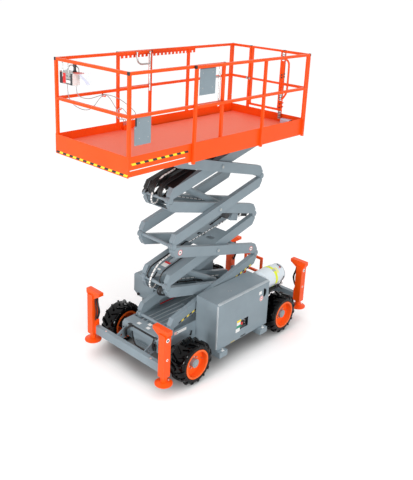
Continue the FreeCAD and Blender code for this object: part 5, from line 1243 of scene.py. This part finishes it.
def make_sleeve():
    """Clear plastic sleeve with a folded leaflet beside the controls."""
    # outlines: y, z
    sleeve = ((-0.292, 4.300), (-0.060, 4.318), (-0.070, 4.150), (-0.296, 4.132))
    leaflet = ((-0.312, 4.262), (-0.268, 4.266), (-0.085, 4.172), (-0.150, 4.157))
    for name, look, outline, x, thick in (
            ("document_sleeve", CLEAR, sleeve, SLEEVE_X, 0.002),
            ("folded_leaflet", SLEEVE, leaflet, SLEEVE_X + 0.003, 0.0012)):
        Piece(name, "extension", look).prism([Vector((x, y, z)) for y, z in outline],
                                             Vector((thick, 0, 0)))


def paint_decks():
    """Light edge under the main deck's front; painted shade on the frames under both decks, darkened for the
    shadow there.
    """
    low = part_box("deck_extension")[0].z
    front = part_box("deck_main")[1].x
    repaint("deck_main", LABEL, lambda c: c.z < low + 0.013 and c.x > front - 0.061
            and abs(c.y) > 0.669)
    # painted shade: the faces under both decks are made dark for the shadow beneath them
    for node in ("deck_main", "deck_extension"):
        lo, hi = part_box(node)
        repaint(node, DARK, lambda c: abs(c.y) < hi.y - 0.004 and c.z < hi.z - 0.13
                and lo.x + 0.004 < c.x < hi.x - 0.004)


make_control_box()
make_sleeve()
paint_decks()
for piece in Piece.started:
    piece.finish()


# ------------------------------------------------------- floor and lighting
FLOOR_SHOWN, FLOOR_BOUNCE = 1.10, 0.55           # seen, and as it lights the machine
SHADE_X, SHADE_HALF_X, SHADE_HALF_Y = -0.25, 1.20, 0.52
SHADE_FADE, SHADE_CORE = 0.50, 0.30
SKY_LOW, SKY_HIGH = 0.20, 1.30
FLOOR_HALF = 150.0
# columns: name, place, target, power in watts
LIGHTS = (("key", (4.0, 10.5, 4.0), (0, 0, 1.8), 560.0),
          ("front", (11.0, 0.5, 3.0), (0, 0, 1.5), 480.0))
LIGHT_SIZE = 2.5


def backdrop_mix(tree):
    """1 for rays that show the backdrop itself, 0 for rays that only carry its light."""
    path = add_node(tree, "LightPath").outputs
    total = calculate(tree, "MAXIMUM", path["Is Camera Ray"], path["Is Glossy Ray"])
    return calculate(tree, "MAXIMUM", total, path["Is Transmission Ray"])


def contact_shade(tree):
    """Painted contact shadow: soft darkening of the floor under and close to the machine."""
    place = add_node(tree, "TexCoord").outputs["Object"]
    split = add_node(tree, "SeparateXYZ", {"Vector": place}).outputs
    reach = []
    for axis, middle, half in (("X", SHADE_X, SHADE_HALF_X), ("Y", 0.0, SHADE_HALF_Y)):
        offset = calculate(tree, "ABSOLUTE", calculate(tree, "SUBTRACT", split[axis], middle))
        outside = calculate(tree, "MAXIMUM", calculate(tree, "SUBTRACT", offset, half))
        reach.append(calculate(tree, "POWER", outside, 2.0))
    distance = calculate(tree, "SQRT", calculate(tree, "ADD", *reach))
    return add_node(tree, "MapRange", {"From Max": SHADE_FADE, "To Min": SHADE_CORE,
                                       "Value": distance},
                    interpolation_type="SMOOTHSTEP").outputs["Result"]


def stage_floor():
    """White studio floor that throws back less light than it shows."""
    mesh = bpy.data.meshes.new("studio_floor")
    half = FLOOR_HALF
    mesh.from_pydata([(-half, -half, 0), (half, -half, 0), (half, half, 0), (-half, half, 0)],
                     [], [(0, 1, 2, 3)])
    floor = link_object("studio_floor", mesh)
    mat = bpy.data.materials.new("studio_floor")
    mat.use_nodes = True
    tree = mat.node_tree
    mix = add_node(tree, "Mix", {"A": (FLOOR_BOUNCE, FLOOR_BOUNCE, FLOOR_BOUNCE, 1),
                                 "B": (FLOOR_SHOWN, FLOOR_SHOWN, FLOOR_SHOWN, 1),
                                 "Factor": backdrop_mix(tree)}, data_type="RGBA")
    # painted contact shadow multiplied into the floor's colour
    shade = add_node(tree, "Mix", {"Factor": 1.0, "A": mix.outputs["Result"],
                                   "B": contact_shade(tree)},
                     data_type="RGBA", blend_type="MULTIPLY")
    fill(tree, tree.nodes["Principled BSDF"], {
        "Base Color": shade.outputs["Result"], "Roughness": 1.0, "Specular IOR Level": 0.0})
    mesh.materials.append(mat)


def studio_world():
    """Plain white surround, weaker from below and as a light than as a background."""
    world = bpy.data.worlds.new("studio")
    world.use_nodes = True
    tree = world.node_tree
    place = add_node(tree, "TexCoord").outputs["Generated"]
    height = add_node(tree, "SeparateXYZ", {"Vector": place}).outputs["Z"]
    glow = add_node(tree, "MapRange", {"To Min": SKY_LOW, "To Max": SKY_HIGH, "Value": height})
    level = add_node(tree, "Mix", {"Factor": backdrop_mix(tree), "A": glow.outputs["Result"],
                                   "B": 1.0})
    fill(tree, tree.nodes["Background"], {"Color": (1, 1, 1, 1),
                                          "Strength": level.outputs["Result"]})
    bpy.context.scene.world = world


def area_light(name, place, target, power):
    data = bpy.data.lights.new(name, "AREA")
    data.shape = "SQUARE"
    data.size = LIGHT_SIZE
    data.energy = power
    light = link_object(name, data)
    light.location = place
    light.rotation_mode = "QUATERNION"
    light.rotation_quaternion = (Vector(target) - Vector(place)).to_track_quat("-Z", "Y")


stage_floor()
studio_world()
for row in LIGHTS:
    area_light(*row)
bpy.context.scene.view_settings.view_transform = "Standard"
